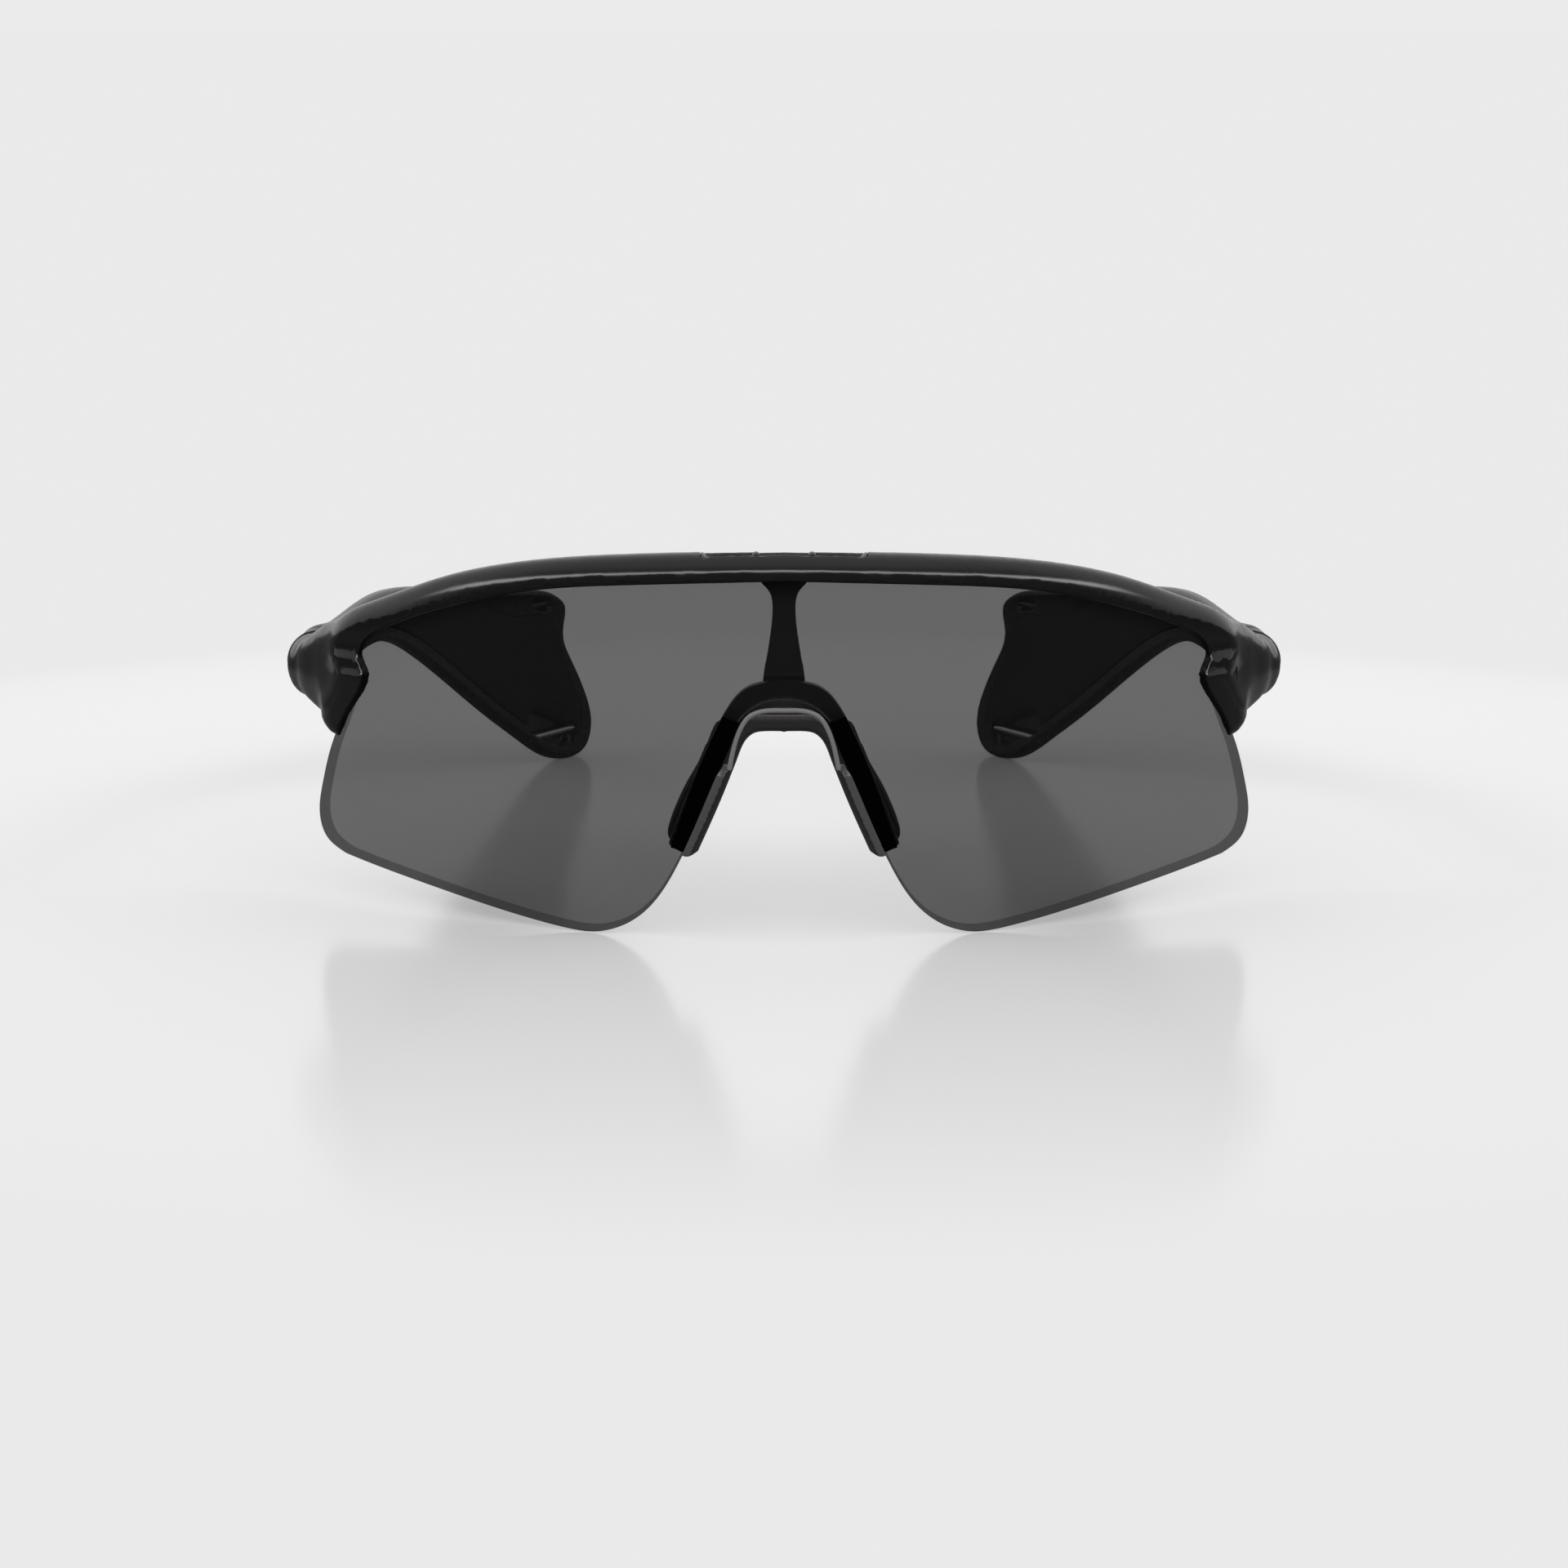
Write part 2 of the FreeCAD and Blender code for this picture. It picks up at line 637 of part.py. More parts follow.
# side view of the arm: along the top, down the tail, and forward along the bottom, (y, z)
ARM_OUTLINE = [(47.0, 30.0), (47.0, 37.6)]
ARM_TOP = [(47.0, 37.6), (66.0, 37.8), (84.0, 38.5), (101.0, 37.3), (122.0, 34.3), (142.6, 31.2),
           (149.0, 29.8), (152.3, 27.0), (151.6, 22.8), (153.6, 18.0), (157.6, 11.2), (159.2, 4.8),
           (157.6, 1.2), (152.6, 0), (146.4, 1.8), (140.9, 4.9), (130.4, 10.9), (118.9, 17.4), (102.7, 25.4),
           (91.6, 29.3), (83.3, 30.7), (70.0, 30.5), (47.0, 30.0)]
ARM_HINGE_Y = 39.5            # hinge axis in the outline above, and from it to the tail
ARM_REACH = 119.7
arc_start = 3.5               # the temple's curve begins this far ahead of the hinge axis


def arm_point(y, z):
    """A point of the arm outlines, stretched to the temple's reach."""
    return (hinge_y + (y - ARM_HINGE_Y) * temple_reach / ARM_REACH, z)


def arm_points(points):
    return [arm_point(y, z) for y, z in points]


def arm_layer(inner, outer):
    """The layer between two distances outside the temple's middle surface."""
    middle = (hinge_x - temple_bow_radius, hinge_y - arc_start, -FAR)
    ring = disc(temple_bow_radius + outer, 2 * lens_height, *middle)
    return ring.cut(disc(temple_bow_radius + inner, 2 * lens_height, *middle))


def arm_x(y, outward=0.0):
    """x of the surface that lies a distance outside the temple's middle surface."""
    along = y - hinge_y + arc_start
    return hinge_x - temple_bow_radius + sqrt((temple_bow_radius + outward) ** 2 - along ** 2)


def arm_block(runs, inner, outer):
    face = side_face([arm_points(run) for run in runs])
    return prism(face, 0, 2 * hinge_x, RIGHT).common(arm_layer(inner, outer))


def long_slot(middle, length, height, tilt_deg):
    """The outline of a slot with round ends, in the side view."""
    y, z = arm_point(*middle)
    bar = Part.makeBox(2 * hinge_x, length - height, height, Vector(0, -(length - height) / 2, -height / 2))
    ends = [Part.makeCylinder(height / 2, 2 * hinge_x, Vector(0, side * (length - height) / 2, 0), RIGHT)
            for side in (-1, 1)]
    slot = bar.fuse(ends).removeSplitter()
    slot.rotate(Vector(0, 0, 0), RIGHT, tilt_deg)
    slot.translate(Vector(0, y, z))
    return slot


def bar_along(middle, length, radius, gap):
    """A level round bar that lies along the temple, a little inside its middle surface."""
    y, z = middle
    first = Vector(arm_x(y - length / 2, -bar_sunk), y - length / 2, z)
    last = Vector(arm_x(y + length / 2, -bar_sunk), y + length / 2, z)
    way = last - first
    return Part.makeCylinder(radius + gap, way.Length, first, way)


def strap_bar(gap):
    return bar_along(arm_point(*STRAP_BAR_MIDDLE), strap_bar_length + 2 * gap, strap_bar_radius, gap)


def tip_bar(gap):
    return bar_along(arm_point(*TIP_SLOT[0]), tip_bar_length + 2 * gap, tip_bar_radius, gap)


def bar_pocket():
    """The notch in the inner face that the strap bar is put in through."""
    y, z = arm_point(*BAR_POCKET_MIDDLE)
    x = arm_x(y)
    return box((x - 3, x), (y - 1.3, y + 0.4), (z - 0.8, z + 0.8))


def liner_runs(shrink):
    outline = [(62.0, 33.9), (70.0, 35.9), (84.0, 36.4), (101.0, 35.2), (122.0, 32.1), (140.4, 27.0),
               (147.6, 25.6), (149.4, 22.4), (151.6, 17.2), (155.2, 10.4), (156.2, 5.6), (154.0, 2.7),
               (148.0, 3.3), (142.0, 6.6), (131.5, 12.8), (120.0, 19.3), (103.9, 27.4), (92.2, 31.4),
               (83.3, 32.9), (70.0, 32.5)]
    border = grown(closed_run(outline), -shrink)
    border[0] = outline[0]
    border[-1] = outline[0]
    return [border]


def make_temple_liner():
    half = temple_thickness / 2
    liner = arm_block(liner_runs(fit_gap), -half - liner_thickness + liner_sunk, -half + liner_sunk)
    return largest(liner.cut(tail_openings(0.5)))


def tail_openings(margin):
    (middle, length, height, tilt) = STRAP_SLOT
    strap = long_slot(middle, length + 2 * margin, height + 2 * margin, tilt)
    (middle, length, height, tilt) = TIP_SLOT
    tip = long_slot(middle, length + 2 * margin, height + 2 * margin, tilt)
    openings = strap.fuse(tip)
    if margin:
        y, z = arm_point(*BAR_POCKET_MIDDLE)
        openings = openings.fuse(box((0, 2 * hinge_x), (y - 1.6, y + 5), (z - 1.1, z + 1.1)))
    return openings


def leaf_block(gap):
    """The hinge leaf without its knuckle, for the pocket in the arm."""
    half = leaf_width / 2 + gap
    high = leaf_height / 2 + gap
    end = hinge_y + leaf_length + gap
    return box((hinge_x - half, hinge_x + half), (hinge_y, end), (hinge_z - high, hinge_z + high))


def leaf_pin(offset, gap):
    start = hinge_x - leaf_width / 2 - 0.8 - gap
    length = leaf_width + 1.6 + 2 * gap
    return Part.makeCylinder(leaf_pin_radius + gap, length, Vector(start, hinge_y + offset, hinge_z), RIGHT)


def make_hinge_leaf():
    low = hinge_z - leaf_height / 2
    leaf = leaf_block(0).fuse(disc(knuckle_radius, leaf_height, hinge_x, hinge_y, low)).removeSplitter()
    bore = disc(screw_radius + fit_gap + bushing_wall + side_gap, leaf_height, hinge_x, hinge_y, low)
    leaf = leaf.cut(bore)
    for offset in leaf_pin_spots:
        leaf = leaf.cut(leaf_pin(offset, side_gap))
    return leaf


def make_hinge_bushing():
    low = hinge_z - leaf_height / 2
    outer = disc(screw_radius + fit_gap + bushing_wall, leaf_height, hinge_x, hinge_y, low)
    return outer.cut(disc(screw_radius + fit_gap, leaf_height, hinge_x, hinge_y, low))


def make_leaf_pins():
    return Part.Compound([leaf_pin(offset, 0) for offset in leaf_pin_spots])


def make_temple_arm():
    half = temple_thickness / 2
    blade = arm_block([ARM_OUTLINE, ARM_TOP], -half, half)
    head = turned_egg(hinge_middle, BACK, head_half_length, head_radius)
    head = head.common(box((0, 2 * hinge_x), (hinge_y + 3.4, hinge_y + 60), (-20, 80)))
    arm = head.fuse(blade).removeSplitter()
    bulb_room = turned_egg(hinge_middle, UP, bulb_half_height + head_gap, bulb_radius + head_gap)
    recess = arm_block(liner_runs(0), -half - 1, -half + liner_sunk + 0.02)
    pockets = tail_openings(0).common(arm_layer(-half - 1, half - tail_skin))
    cuts = [bulb_room, leaf_block(side_gap), recess, pockets, bar_pocket()]
    cuts += [strap_bar(side_gap), tip_bar(side_gap)]
    cuts += [leaf_pin(offset, side_gap) for offset in leaf_pin_spots]
    for cut in cuts:
        arm = arm.cut(cut)
    return arm


# ---------------------------------------------------------------- assembly

def make_all():
    shapes = {
        "brow_frame": make_brow_frame(),
        "shield_lens": make_shield_lens(),
        "lens_gasket": make_lens_gasket(),
        "bridge_stalk": make_bridge_stalk(),
        "stalk_screws": make_stalk_screws(),
        "brow_vent_insert": make_brow_vent_insert(),
        "nose_yoke": make_nose_yoke(),
        "yoke_screw": make_yoke_screw(),
    }
    sided = {
        "nose_pad": make_nose_pad(),
        "hinge_screw": make_hinge_screw(),
        "hinge_washers": make_hinge_washers(),
        "temple_arm": make_temple_arm(),
        "hinge_leaf": make_hinge_leaf(),
        "hinge_bushing": make_hinge_bushing(),
        "leaf_pins": make_leaf_pins(),
        "temple_liner": make_temple_liner(),
        "strap_bar": strap_bar(0),
        "tip_bar": tip_bar(0),
    }
    for name, shape in sided.items():
        shapes[name + "_left"] = shape
        shapes[name + "_right"] = other_side(shape)
    return shapes


def footprint_middle(shapes):
    """How far everything moves to put the origin in the middle of the footprint."""
    boxes = [shape.optimalBoundingBox(False) for shape in shapes.values()]
    middle_y = (min(b.YMin for b in boxes) + max(b.YMax for b in boxes)) / 2
    return Vector(0, -middle_y, -min(b.ZMin for b in boxes))


shapes = make_all()
shift = footprint_middle(shapes)
os.makedirs("parts", exist_ok=True)
for name, shape in shapes.items():
    shape.translate(shift)
    shape.exportStep("parts/" + name + ".step")
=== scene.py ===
"""Looks of the wraparound sport sunglasses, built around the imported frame.

Shapes are drawn in millimetres on the front and side views, with z = 0 at the foot of the lens and
y = 0 lying 7.5 mm behind the lens's foremost point, and are moved into the frame when they are meshed.
"""

from math import cos, pi, radians, sin

import bpy
import numpy as np
import openvdb
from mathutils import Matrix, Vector
from mathutils.geometry import delaunay_2d_cdt


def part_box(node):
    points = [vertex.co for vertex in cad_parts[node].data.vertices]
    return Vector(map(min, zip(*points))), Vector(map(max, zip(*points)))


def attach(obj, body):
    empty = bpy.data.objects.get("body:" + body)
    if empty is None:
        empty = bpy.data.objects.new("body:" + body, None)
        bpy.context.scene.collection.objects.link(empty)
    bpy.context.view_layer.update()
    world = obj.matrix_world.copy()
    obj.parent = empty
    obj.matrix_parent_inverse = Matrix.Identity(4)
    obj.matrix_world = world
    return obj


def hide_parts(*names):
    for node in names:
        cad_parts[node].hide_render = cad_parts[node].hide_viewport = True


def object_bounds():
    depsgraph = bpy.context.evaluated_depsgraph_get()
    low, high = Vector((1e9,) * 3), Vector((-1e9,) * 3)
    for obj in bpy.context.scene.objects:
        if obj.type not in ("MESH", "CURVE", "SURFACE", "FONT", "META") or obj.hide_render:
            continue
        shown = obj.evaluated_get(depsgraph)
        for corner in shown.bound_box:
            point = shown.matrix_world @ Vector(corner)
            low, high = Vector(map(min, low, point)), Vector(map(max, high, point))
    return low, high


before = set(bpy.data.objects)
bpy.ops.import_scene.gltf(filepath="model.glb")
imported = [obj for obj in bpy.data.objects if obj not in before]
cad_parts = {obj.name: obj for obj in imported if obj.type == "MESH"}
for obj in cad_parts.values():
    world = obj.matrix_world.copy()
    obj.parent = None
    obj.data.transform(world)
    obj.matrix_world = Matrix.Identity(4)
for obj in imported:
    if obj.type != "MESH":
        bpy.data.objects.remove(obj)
cad_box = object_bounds()

# ---------------------------------------- shield lens
# One wide sheet of tinted polycarbonate, curved like a slice of a barrel and cut to a swooping
# outline. Its rim is polished round and shows a little darker than the sheet.

MM = 0.001
LENS_BOW = 7.5
LENS_WRAP_RADIUS = 90.0
LENS_FALL_RADIUS = 110.0
LENS_EQUATOR = 40.0
LENS_THICKNESS = 1.8
LENS_AXIS_Y = LENS_WRAP_RADIUS - LENS_BOW
RIM_ROUND = 0.3
SHEET_SPACING = 2.5

lens_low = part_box("shield_lens")[0]
frame_shift = np.array([0.0, lens_low.y / MM + LENS_BOW, lens_low.z / MM])

LENS_TOP = [(0, 53.4), (22.6, 52.5), (38.5, 50.7), (49.0, 47.9), (57.0, 44.6), (61.4, 41.6)]
LENS_SIDE = [(61.4, 41.6), (63.1, 38.6), (62.7, 36.0), (63.2, 32.4), (64.6, 28.4), (66.5, 23.6),
             (68.2, 17.6), (69.0, 12.2), (67.9, 8.8), (64.9, 7.0)]
LENS_BOTTOM = [(64.9, 7.0), (51.0, 4.4), (42.8, 2.6), (34.8, 0.9), (30.8, 0.2), (27.4, 0.0),
               (24.1, 0.8), (20.9, 2.7), (17.3, 6.9), (14.4, 12.4)]
LENS_NOTCH = [(14.4, 12.4), (11.4, 20.4), (8.6, 27.4), (6.6, 31.8), (3.6, 34.6), (0, 35.4)]


def mirrored(points):
    """A run from the middle outwards, made into one run across both sides."""
    return [(-x, z) for x, z in reversed(points) if x > 0] + list(points)


def smooth_run(points, spacing):
    """Points a spacing apart on a smooth curve through the given ones."""
    knots = np.array(points, float)
    if len(knots) == 2:
        count = max(int(np.linalg.norm(knots[1] - knots[0]) / spacing), 1)
        return knots[0] + (knots[1] - knots[0]) * np.linspace(0, 1, count + 1)[:, None]
    chord = np.linalg.norm(np.diff(knots, axis=0), axis=1)
    at = np.concatenate([[0], np.cumsum(chord)])
    size = len(knots)
    matrix = np.eye(size)
    bend = np.zeros((size, 2))
    slope = np.diff(knots, axis=0) / chord[:, None]
    for i in range(1, size - 1):
        matrix[i, i - 1] = chord[i - 1]
        matrix[i, i] = 2 * (chord[i - 1] + chord[i])
        matrix[i, i + 1] = chord[i]
        bend[i] = 6 * (slope[i] - slope[i - 1])
    curve = np.linalg.solve(matrix, bend)
    where = np.linspace(0, at[-1], max(int(at[-1] / spacing), 2) + 1)
    piece = np.clip(np.searchsorted(at, where, side="right") - 1, 0, size - 2)
    width = chord[piece][:, None]
    right = (where - at[piece])[:, None]
    left = width - right
    return (curve[piece] * left ** 3 / (6 * width) + curve[piece + 1] * right ** 3 / (6 * width)
            + (knots[piece] / width - curve[piece] * width / 6) * left
            + (knots[piece + 1] / width - curve[piece + 1] * width / 6) * right)


def closed_outline(runs, spacing):
    """A closed outline through a chain of smooth runs."""
    pieces = [smooth_run(run, spacing)[:-1] for run in runs]
    return np.concatenate(pieces)


def both_sides(runs):
    """Runs down the right half, closed through the left half."""
    right = runs[1:-1]
    left = [[(-x, z) for x, z in reversed(run)] for run in right]
    last = list(reversed(mirrored(list(reversed(runs[-1])))))
    return [mirrored(runs[0])] + right + [last] + list(reversed(left))


def lens_depth(x, y, z):
    """How far a point is in front of the lens face."""
    out = np.hypot(x, y - LENS_AXIS_Y)
    return np.hypot(out - (LENS_WRAP_RADIUS - LENS_FALL_RADIUS), z - LENS_EQUATOR) - LENS_FALL_RADIUS


def on_lens(x, z, depth):
    """The point of the lens face seen at (x, z) from the front, moved out along the face's normal."""
    middle = LENS_WRAP_RADIUS - LENS_FALL_RADIUS
    out = middle + np.sqrt(LENS_FALL_RADIUS ** 2 - (z - LENS_EQUATOR) ** 2)
    y = LENS_AXIS_Y - np.sqrt(out ** 2 - x ** 2)
    face = np.stack([x, y, z], axis=-1)
    level = (out - middle) / LENS_FALL_RADIUS
    normal = np.stack([x / out * level, (y - LENS_AXIS_Y) / out * level,
                       (z - LENS_EQUATOR) / LENS_FALL_RADIUS], axis=-1)
    return face + normal * np.asarray(depth)[..., None], normal


def outline_sides(outline):
    """The outward direction at each point of a closed outline."""
    along = np.roll(outline, -1, axis=0) - np.roll(outline, 1, axis=0)
    area = np.sum(outline[:, 0] * np.roll(outline[:, 1], -1) - np.roll(outline[:, 0], -1) * outline[:, 1])
    outward = np.stack([along[:, 1], -along[:, 0]], axis=1) * np.sign(area)
    return outward / np.linalg.norm(outward, axis=1)[:, None]


def mesh_piece(name, points, faces, normals, material):
    """A smooth piece from points in millimetres."""
    mesh = bpy.data.meshes.new(name)
    mesh.from_pydata(((points + frame_shift) * MM).tolist(), [], faces)
    mesh.materials.append(material)
    mesh.shade_smooth()
    mesh.normals_split_custom_set_from_vertices(normals.tolist())
    piece = bpy.data.objects.new(name, mesh)
    bpy.context.scene.collection.objects.link(piece)
    return piece


def start_material(name, colour, roughness, specular):
    """A material with one shader, ready for its surface detail."""
    material = bpy.data.materials.new(name)
    material.use_nodes = True
    nodes = material.node_tree.nodes
    shader = nodes["Principled BSDF"]
    shader.inputs["Base Color"].default_value = (*colour, 1)
    shader.inputs["Roughness"].default_value = roughness
    shader.inputs["Specular IOR Level"].default_value = specular
    return material, material.node_tree, shader


def surface_noise(tree, scale, detail, seed_offset):
    """Fine noise fixed to the piece, from 0 to 1."""
    place = tree.nodes.new("ShaderNodeTexCoord")
    shift = tree.nodes.new("ShaderNodeMapping")
    shift.inputs["Location"].default_value = (seed_offset, 0.37 * seed_offset, 0.61 * seed_offset)
    noise = tree.nodes.new("ShaderNodeTexNoise")
    noise.inputs["Scale"].default_value = scale
    noise.inputs["Detail"].default_value = detail
    tree.links.new(place.outputs["Object"], shift.inputs["Vector"])
    tree.links.new(shift.outputs["Vector"], noise.inputs["Vector"])
    return noise.outputs["Fac"]


def vary(tree, source, low, high, target):
    """Drives a socket from low to high by a noise."""
    spread = tree.nodes.new("ShaderNodeMapRange")
    spread.inputs["From Min"].default_value = 0.3
    spread.inputs["From Max"].default_value = 0.7
    spread.inputs["To Min"].default_value = low
    spread.inputs["To Max"].default_value = high
    tree.links.new(source, spread.inputs["Value"])
    tree.links.new(spread.outputs["Result"], target)


def tint(tree, source, first, second, target):
    """Mixes two colours by a noise."""
    mix = tree.nodes.new("ShaderNodeMix")
    mix.data_type = "RGBA"
    mix.inputs["A"].default_value = (*first, 1)
    mix.inputs["B"].default_value = (*second, 1)
    tree.links.new(source, mix.inputs["Factor"])
    tree.links.new(mix.outputs["Result"], target)


def add_bump(tree, source, height_mm, shader):
    """Raises the surface by a noise, a given height from its lows to its highs."""
    bump = tree.nodes.new("ShaderNodeBump")
    bump.inputs["Strength"].default_value = 1.0
    bump.inputs["Distance"].default_value = height_mm * MM
    tree.links.new(source, bump.inputs["Height"])
    tree.links.new(bump.outputs["Normal"], shader.inputs["Normal"])


LENS_ALPHA = 0.606
RIM_ALPHA = 0.8


def lens_tint(name, alpha, colour):
    """Smoke-grey tint with the faint unevenness of a dipped hard coat."""
    material, tree, shader = start_material(name, colour, 0.05, 0.06)
    coat = surface_noise(tree, 90.0, 3.0, 1.7)
    wipe = surface_noise(tree, 900.0, 2.0, 4.1)
    tint(tree, coat, colour, tuple(1.25 * c for c in colour), shader.inputs["Base Color"])
    vary(tree, wipe, 0.03, 0.07, shader.inputs["Roughness"])
    shader.inputs["Alpha"].default_value = alpha
    return material


def lens_mesh(name):
    """The lens sheet: both faces on one net of triangles, joined by a rounded rim."""
    outline = closed_outline(both_sides([LENS_TOP, LENS_SIDE, LENS_BOTTOM, LENS_NOTCH]), 0.8)
    sides = outline_sides(outline)
    count = len(outline)
    inner = outline - sides * RIM_ROUND
    grid_x, grid_z = np.meshgrid(np.arange(-70, 70, SHEET_SPACING), np.arange(0, 54, SHEET_SPACING))
    grid = np.stack([grid_x.ravel(), grid_z.ravel()], axis=1)
    gap = outline_distance(inner, grid[:, 0], grid[:, 1])
    grid = grid[gap < -0.45 * SHEET_SPACING]
    net = np.concatenate([inner, grid])
    loop = [(i, (i + 1) % count) for i in range(count)]
    flat, _, triangles, *_ = delaunay_2d_cdt([Vector(p) for p in net], loop, [list(range(count))], 1, 1e-6)
    flat = np.array([tuple(p) for p in flat])
    turn = np.array([[flat[t[1]][0] - flat[t[0]][0], flat[t[2]][1] - flat[t[0]][1],
                      flat[t[1]][1] - flat[t[0]][1], flat[t[2]][0] - flat[t[0]][0]] for t in triangles])
    towards_back = turn[:, 0] * turn[:, 1] - turn[:, 2] * turn[:, 3] < 0
    front_faces = [list(t) if not back else list(reversed(t)) for t, back in zip(triangles, towards_back)]
    points = []
    normals = []
    for face_depth, way in ((0.0, 1.0), (-LENS_THICKNESS, -1.0)):
        place, normal = on_lens(flat[:, 0], flat[:, 1], np.full(len(flat), face_depth))
        points.append(place)
        normals.append(normal * way)
    size = len(flat)
    faces = [list(face) for face in front_faces]
    faces += [[i + size for i in reversed(face)] for face in front_faces]
    start = 2 * size
    rings = []
    steps = [(lean, 0.0) for lean in (30, 60, 90)] + [(lean, 1.0) for lean in (90, 60, 30)]
    for lean, back in steps:
        lean = radians(lean)
        flat_ring = outline - sides * RIM_ROUND * (1 - sin(lean))
        depth = -RIM_ROUND * (1 - cos(lean)) * (1 - 2 * back) - LENS_THICKNESS * back
        place, normal = on_lens(flat_ring[:, 0], flat_ring[:, 1], np.full(count, depth))
        side = np.stack([sides[:, 0], np.zeros(count), sides[:, 1]], axis=1)
        side -= normal * np.sum(side * normal, axis=1)[:, None]
        side /= np.linalg.norm(side, axis=1)[:, None]
        points.append(place)
        normals.append(normal * cos(lean) * (1 - 2 * back) + side * sin(lean))
        rings.append(np.arange(start, start + count))
        start += count
    chain = [np.arange(count)] + rings + [np.arange(size, size + count)]
    rim_faces = []
    following = np.roll(outline, -1, axis=0)
    clockwise = np.sum(outline[:, 0] * following[:, 1] - following[:, 0] * outline[:, 1]) < 0
    for near, far in zip(chain, chain[1:]):
        for i in range(count):
            j = (i + 1) % count
            quad = [int(near[i]), int(near[j]), int(far[j]), int(far[i])]
            rim_faces.append(quad if clockwise else quad[::-1])
    return np.concatenate(points), faces, rim_faces, np.concatenate(normals)


def outline_distance(outline, u, v):
    """Distance to a closed outline, below zero inside it."""
    best = np.full(np.shape(u), 1e9)
    inside = np.zeros(np.shape(u), bool)
    for (au, av), (bu, bv) in zip(outline, np.roll(outline, -1, axis=0)):
        du, dv = bu - au, bv - av
        share = np.clip(((u - au) * du + (v - av) * dv) / max(du * du + dv * dv, 1e-12), 0, 1)
        best = np.minimum(best, (u - au - share * du) ** 2 + (v - av - share * dv) ** 2)
        if dv != 0:
            crosses = (av > v) != (bv > v)
            inside ^= crosses & (u < du * (v - av) / dv + au)
    return np.where(inside, -1.0, 1.0) * np.sqrt(best)


lens_points, sheet_faces, rim_faces, lens_normals = lens_mesh("shield_lens_sheet")
lens = mesh_piece("shield_lens_sheet", lens_points, sheet_faces + rim_faces, lens_normals,
                  lens_tint("smoke lens", LENS_ALPHA, (0.005, 0.005, 0.0055)))
lens.data.materials.append(lens_tint("polished lens rim", RIM_ALPHA, (0.03, 0.03, 0.032)))
for index in range(len(sheet_faces), len(sheet_faces) + len(rim_faces)):
    lens.data.polygons[index].material_index = 1
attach(lens, "front")
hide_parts("shield_lens")

# ---------------------------------------- brow frame
# The gloss black moulded bar that carries the lens. Its face is upright with a crisp upper edge, its
# top is crowned, and its ends turn down into prongs and run back into round hinge bulbs.

FRONT_PROUD = 2.2
BROW_DEPTH = 5.6
CROWN_RISE = 2.1
HINGE_X = 70.0
HINGE_Y = 39.5
HINGE_Z = 33.5
BULB_RADIUS = 4.2
BULB_HALF_HEIGHT = 4.6
BROW_CELL = 0.23

BROW_FACE_EDGE = [(0, 54.0), (22.6, 53.2), (38.4, 51.4), (49.0, 48.6), (56.5, 45.4), (60.7, 43.3),
                  (63.2, 41.4), (64.4, 39.6), (64.6, 37.9), (64.1, 36.3), (63.8, 35.5)]
PRONG_FACE_EDGE = [(63.8, 35.5), (64.5, 33.6), (65.6, 31.0), (66.3, 29.4), (66.4, 28.5)]
PRONG_TIP = [(66.4, 28.5), (65.8, 27.9), (64.9, 28.1), (64.3, 29.0)]
WINDOW_TOP = [(0, 52.3), (22.6, 51.4), (38.5, 49.6), (49.0, 46.7), (55.8, 44.0), (58.4, 42.6), (59.8, 41.7)]
WINDOW_SIDE = [(59.8, 41.7), (61.0, 40.5), (61.8, 38.8), (61.3, 37.2), (60.8, 35.9), (61.0, 34.5),
               (62.4, 32.0), (64.3, 29.0)]


def outline_field(outline, step=0.15, margin=8.0):
    low = outline.min(axis=0) - margin
    high = outline.max(axis=0) + margin
    us = np.arange(low[0], high[0] + step, step)
    vs = np.arange(low[1], high[1] + step, step)
    table = outline_distance(outline, us[:, None] + 0 * vs[None, :], vs[None, :] + 0 * us[:, None])

    def distance(u, v):
        fu = np.clip((u - low[0]) / step, 0, len(us) - 1.001)
        fv = np.clip((v - low[1]) / step, 0, len(vs) - 1.001)
        iu = fu.astype(int)
        iv = fv.astype(int)
        fu = fu - iu
        fv = fv - iv
        return ((table[iu, iv] * (1 - fu) + table[iu + 1, iv] * fu) * (1 - fv)
                + (table[iu, iv + 1] * (1 - fu) + table[iu + 1, iv + 1] * fu) * fv)

    return distance


def lookup(pairs):
    """A smooth function through (at, value) pairs, rising in at."""
    curve = smooth_run(pairs, 0.02 * abs(pairs[-1][0] - pairs[0][0]))
    return lambda at: np.interp(at, curve[:, 0], curve[:, 1])


def joined_corner(a, b, radius):
    """What is inside both shapes, with the edge between them rounded."""
    outer = np.hypot(np.maximum(a + radius, 0), np.maximum(b + radius, 0))
    return np.minimum(np.maximum(a, b), -radius) + outer


def blended(a, b, reach):
    """Two shapes melted together where they are nearer than the reach."""
    near = np.clip(0.5 + 0.5 * (b - a) / reach, 0, 1)
    return b * (1 - near) + a * near - reach * near * (1 - near)


def egg(x, y, z, middle, radii):
    """Distance to an egg, near enough."""
    parts = [(p - m) / r for p, m, r in zip((x, y, z), middle, radii)]
    size = np.sqrt(sum(p ** 2 for p in parts))
    steep = np.sqrt(sum((p / r) ** 2 for p, r in zip(parts, radii)))
    return size * (size - 1) / np.maximum(steep, 1e-9)


def block(x, y, z, x_range, y_range, z_range):
    """Distance to an upright block, near enough."""
    gaps = []
    for p, (low, high) in zip((x, y, z), (x_range, y_range, z_range)):
        gaps.append(np.abs(p - (low + high) / 2) - (high - low) / 2)
    return np.maximum(np.maximum(gaps[0], gaps[1]), gaps[2])


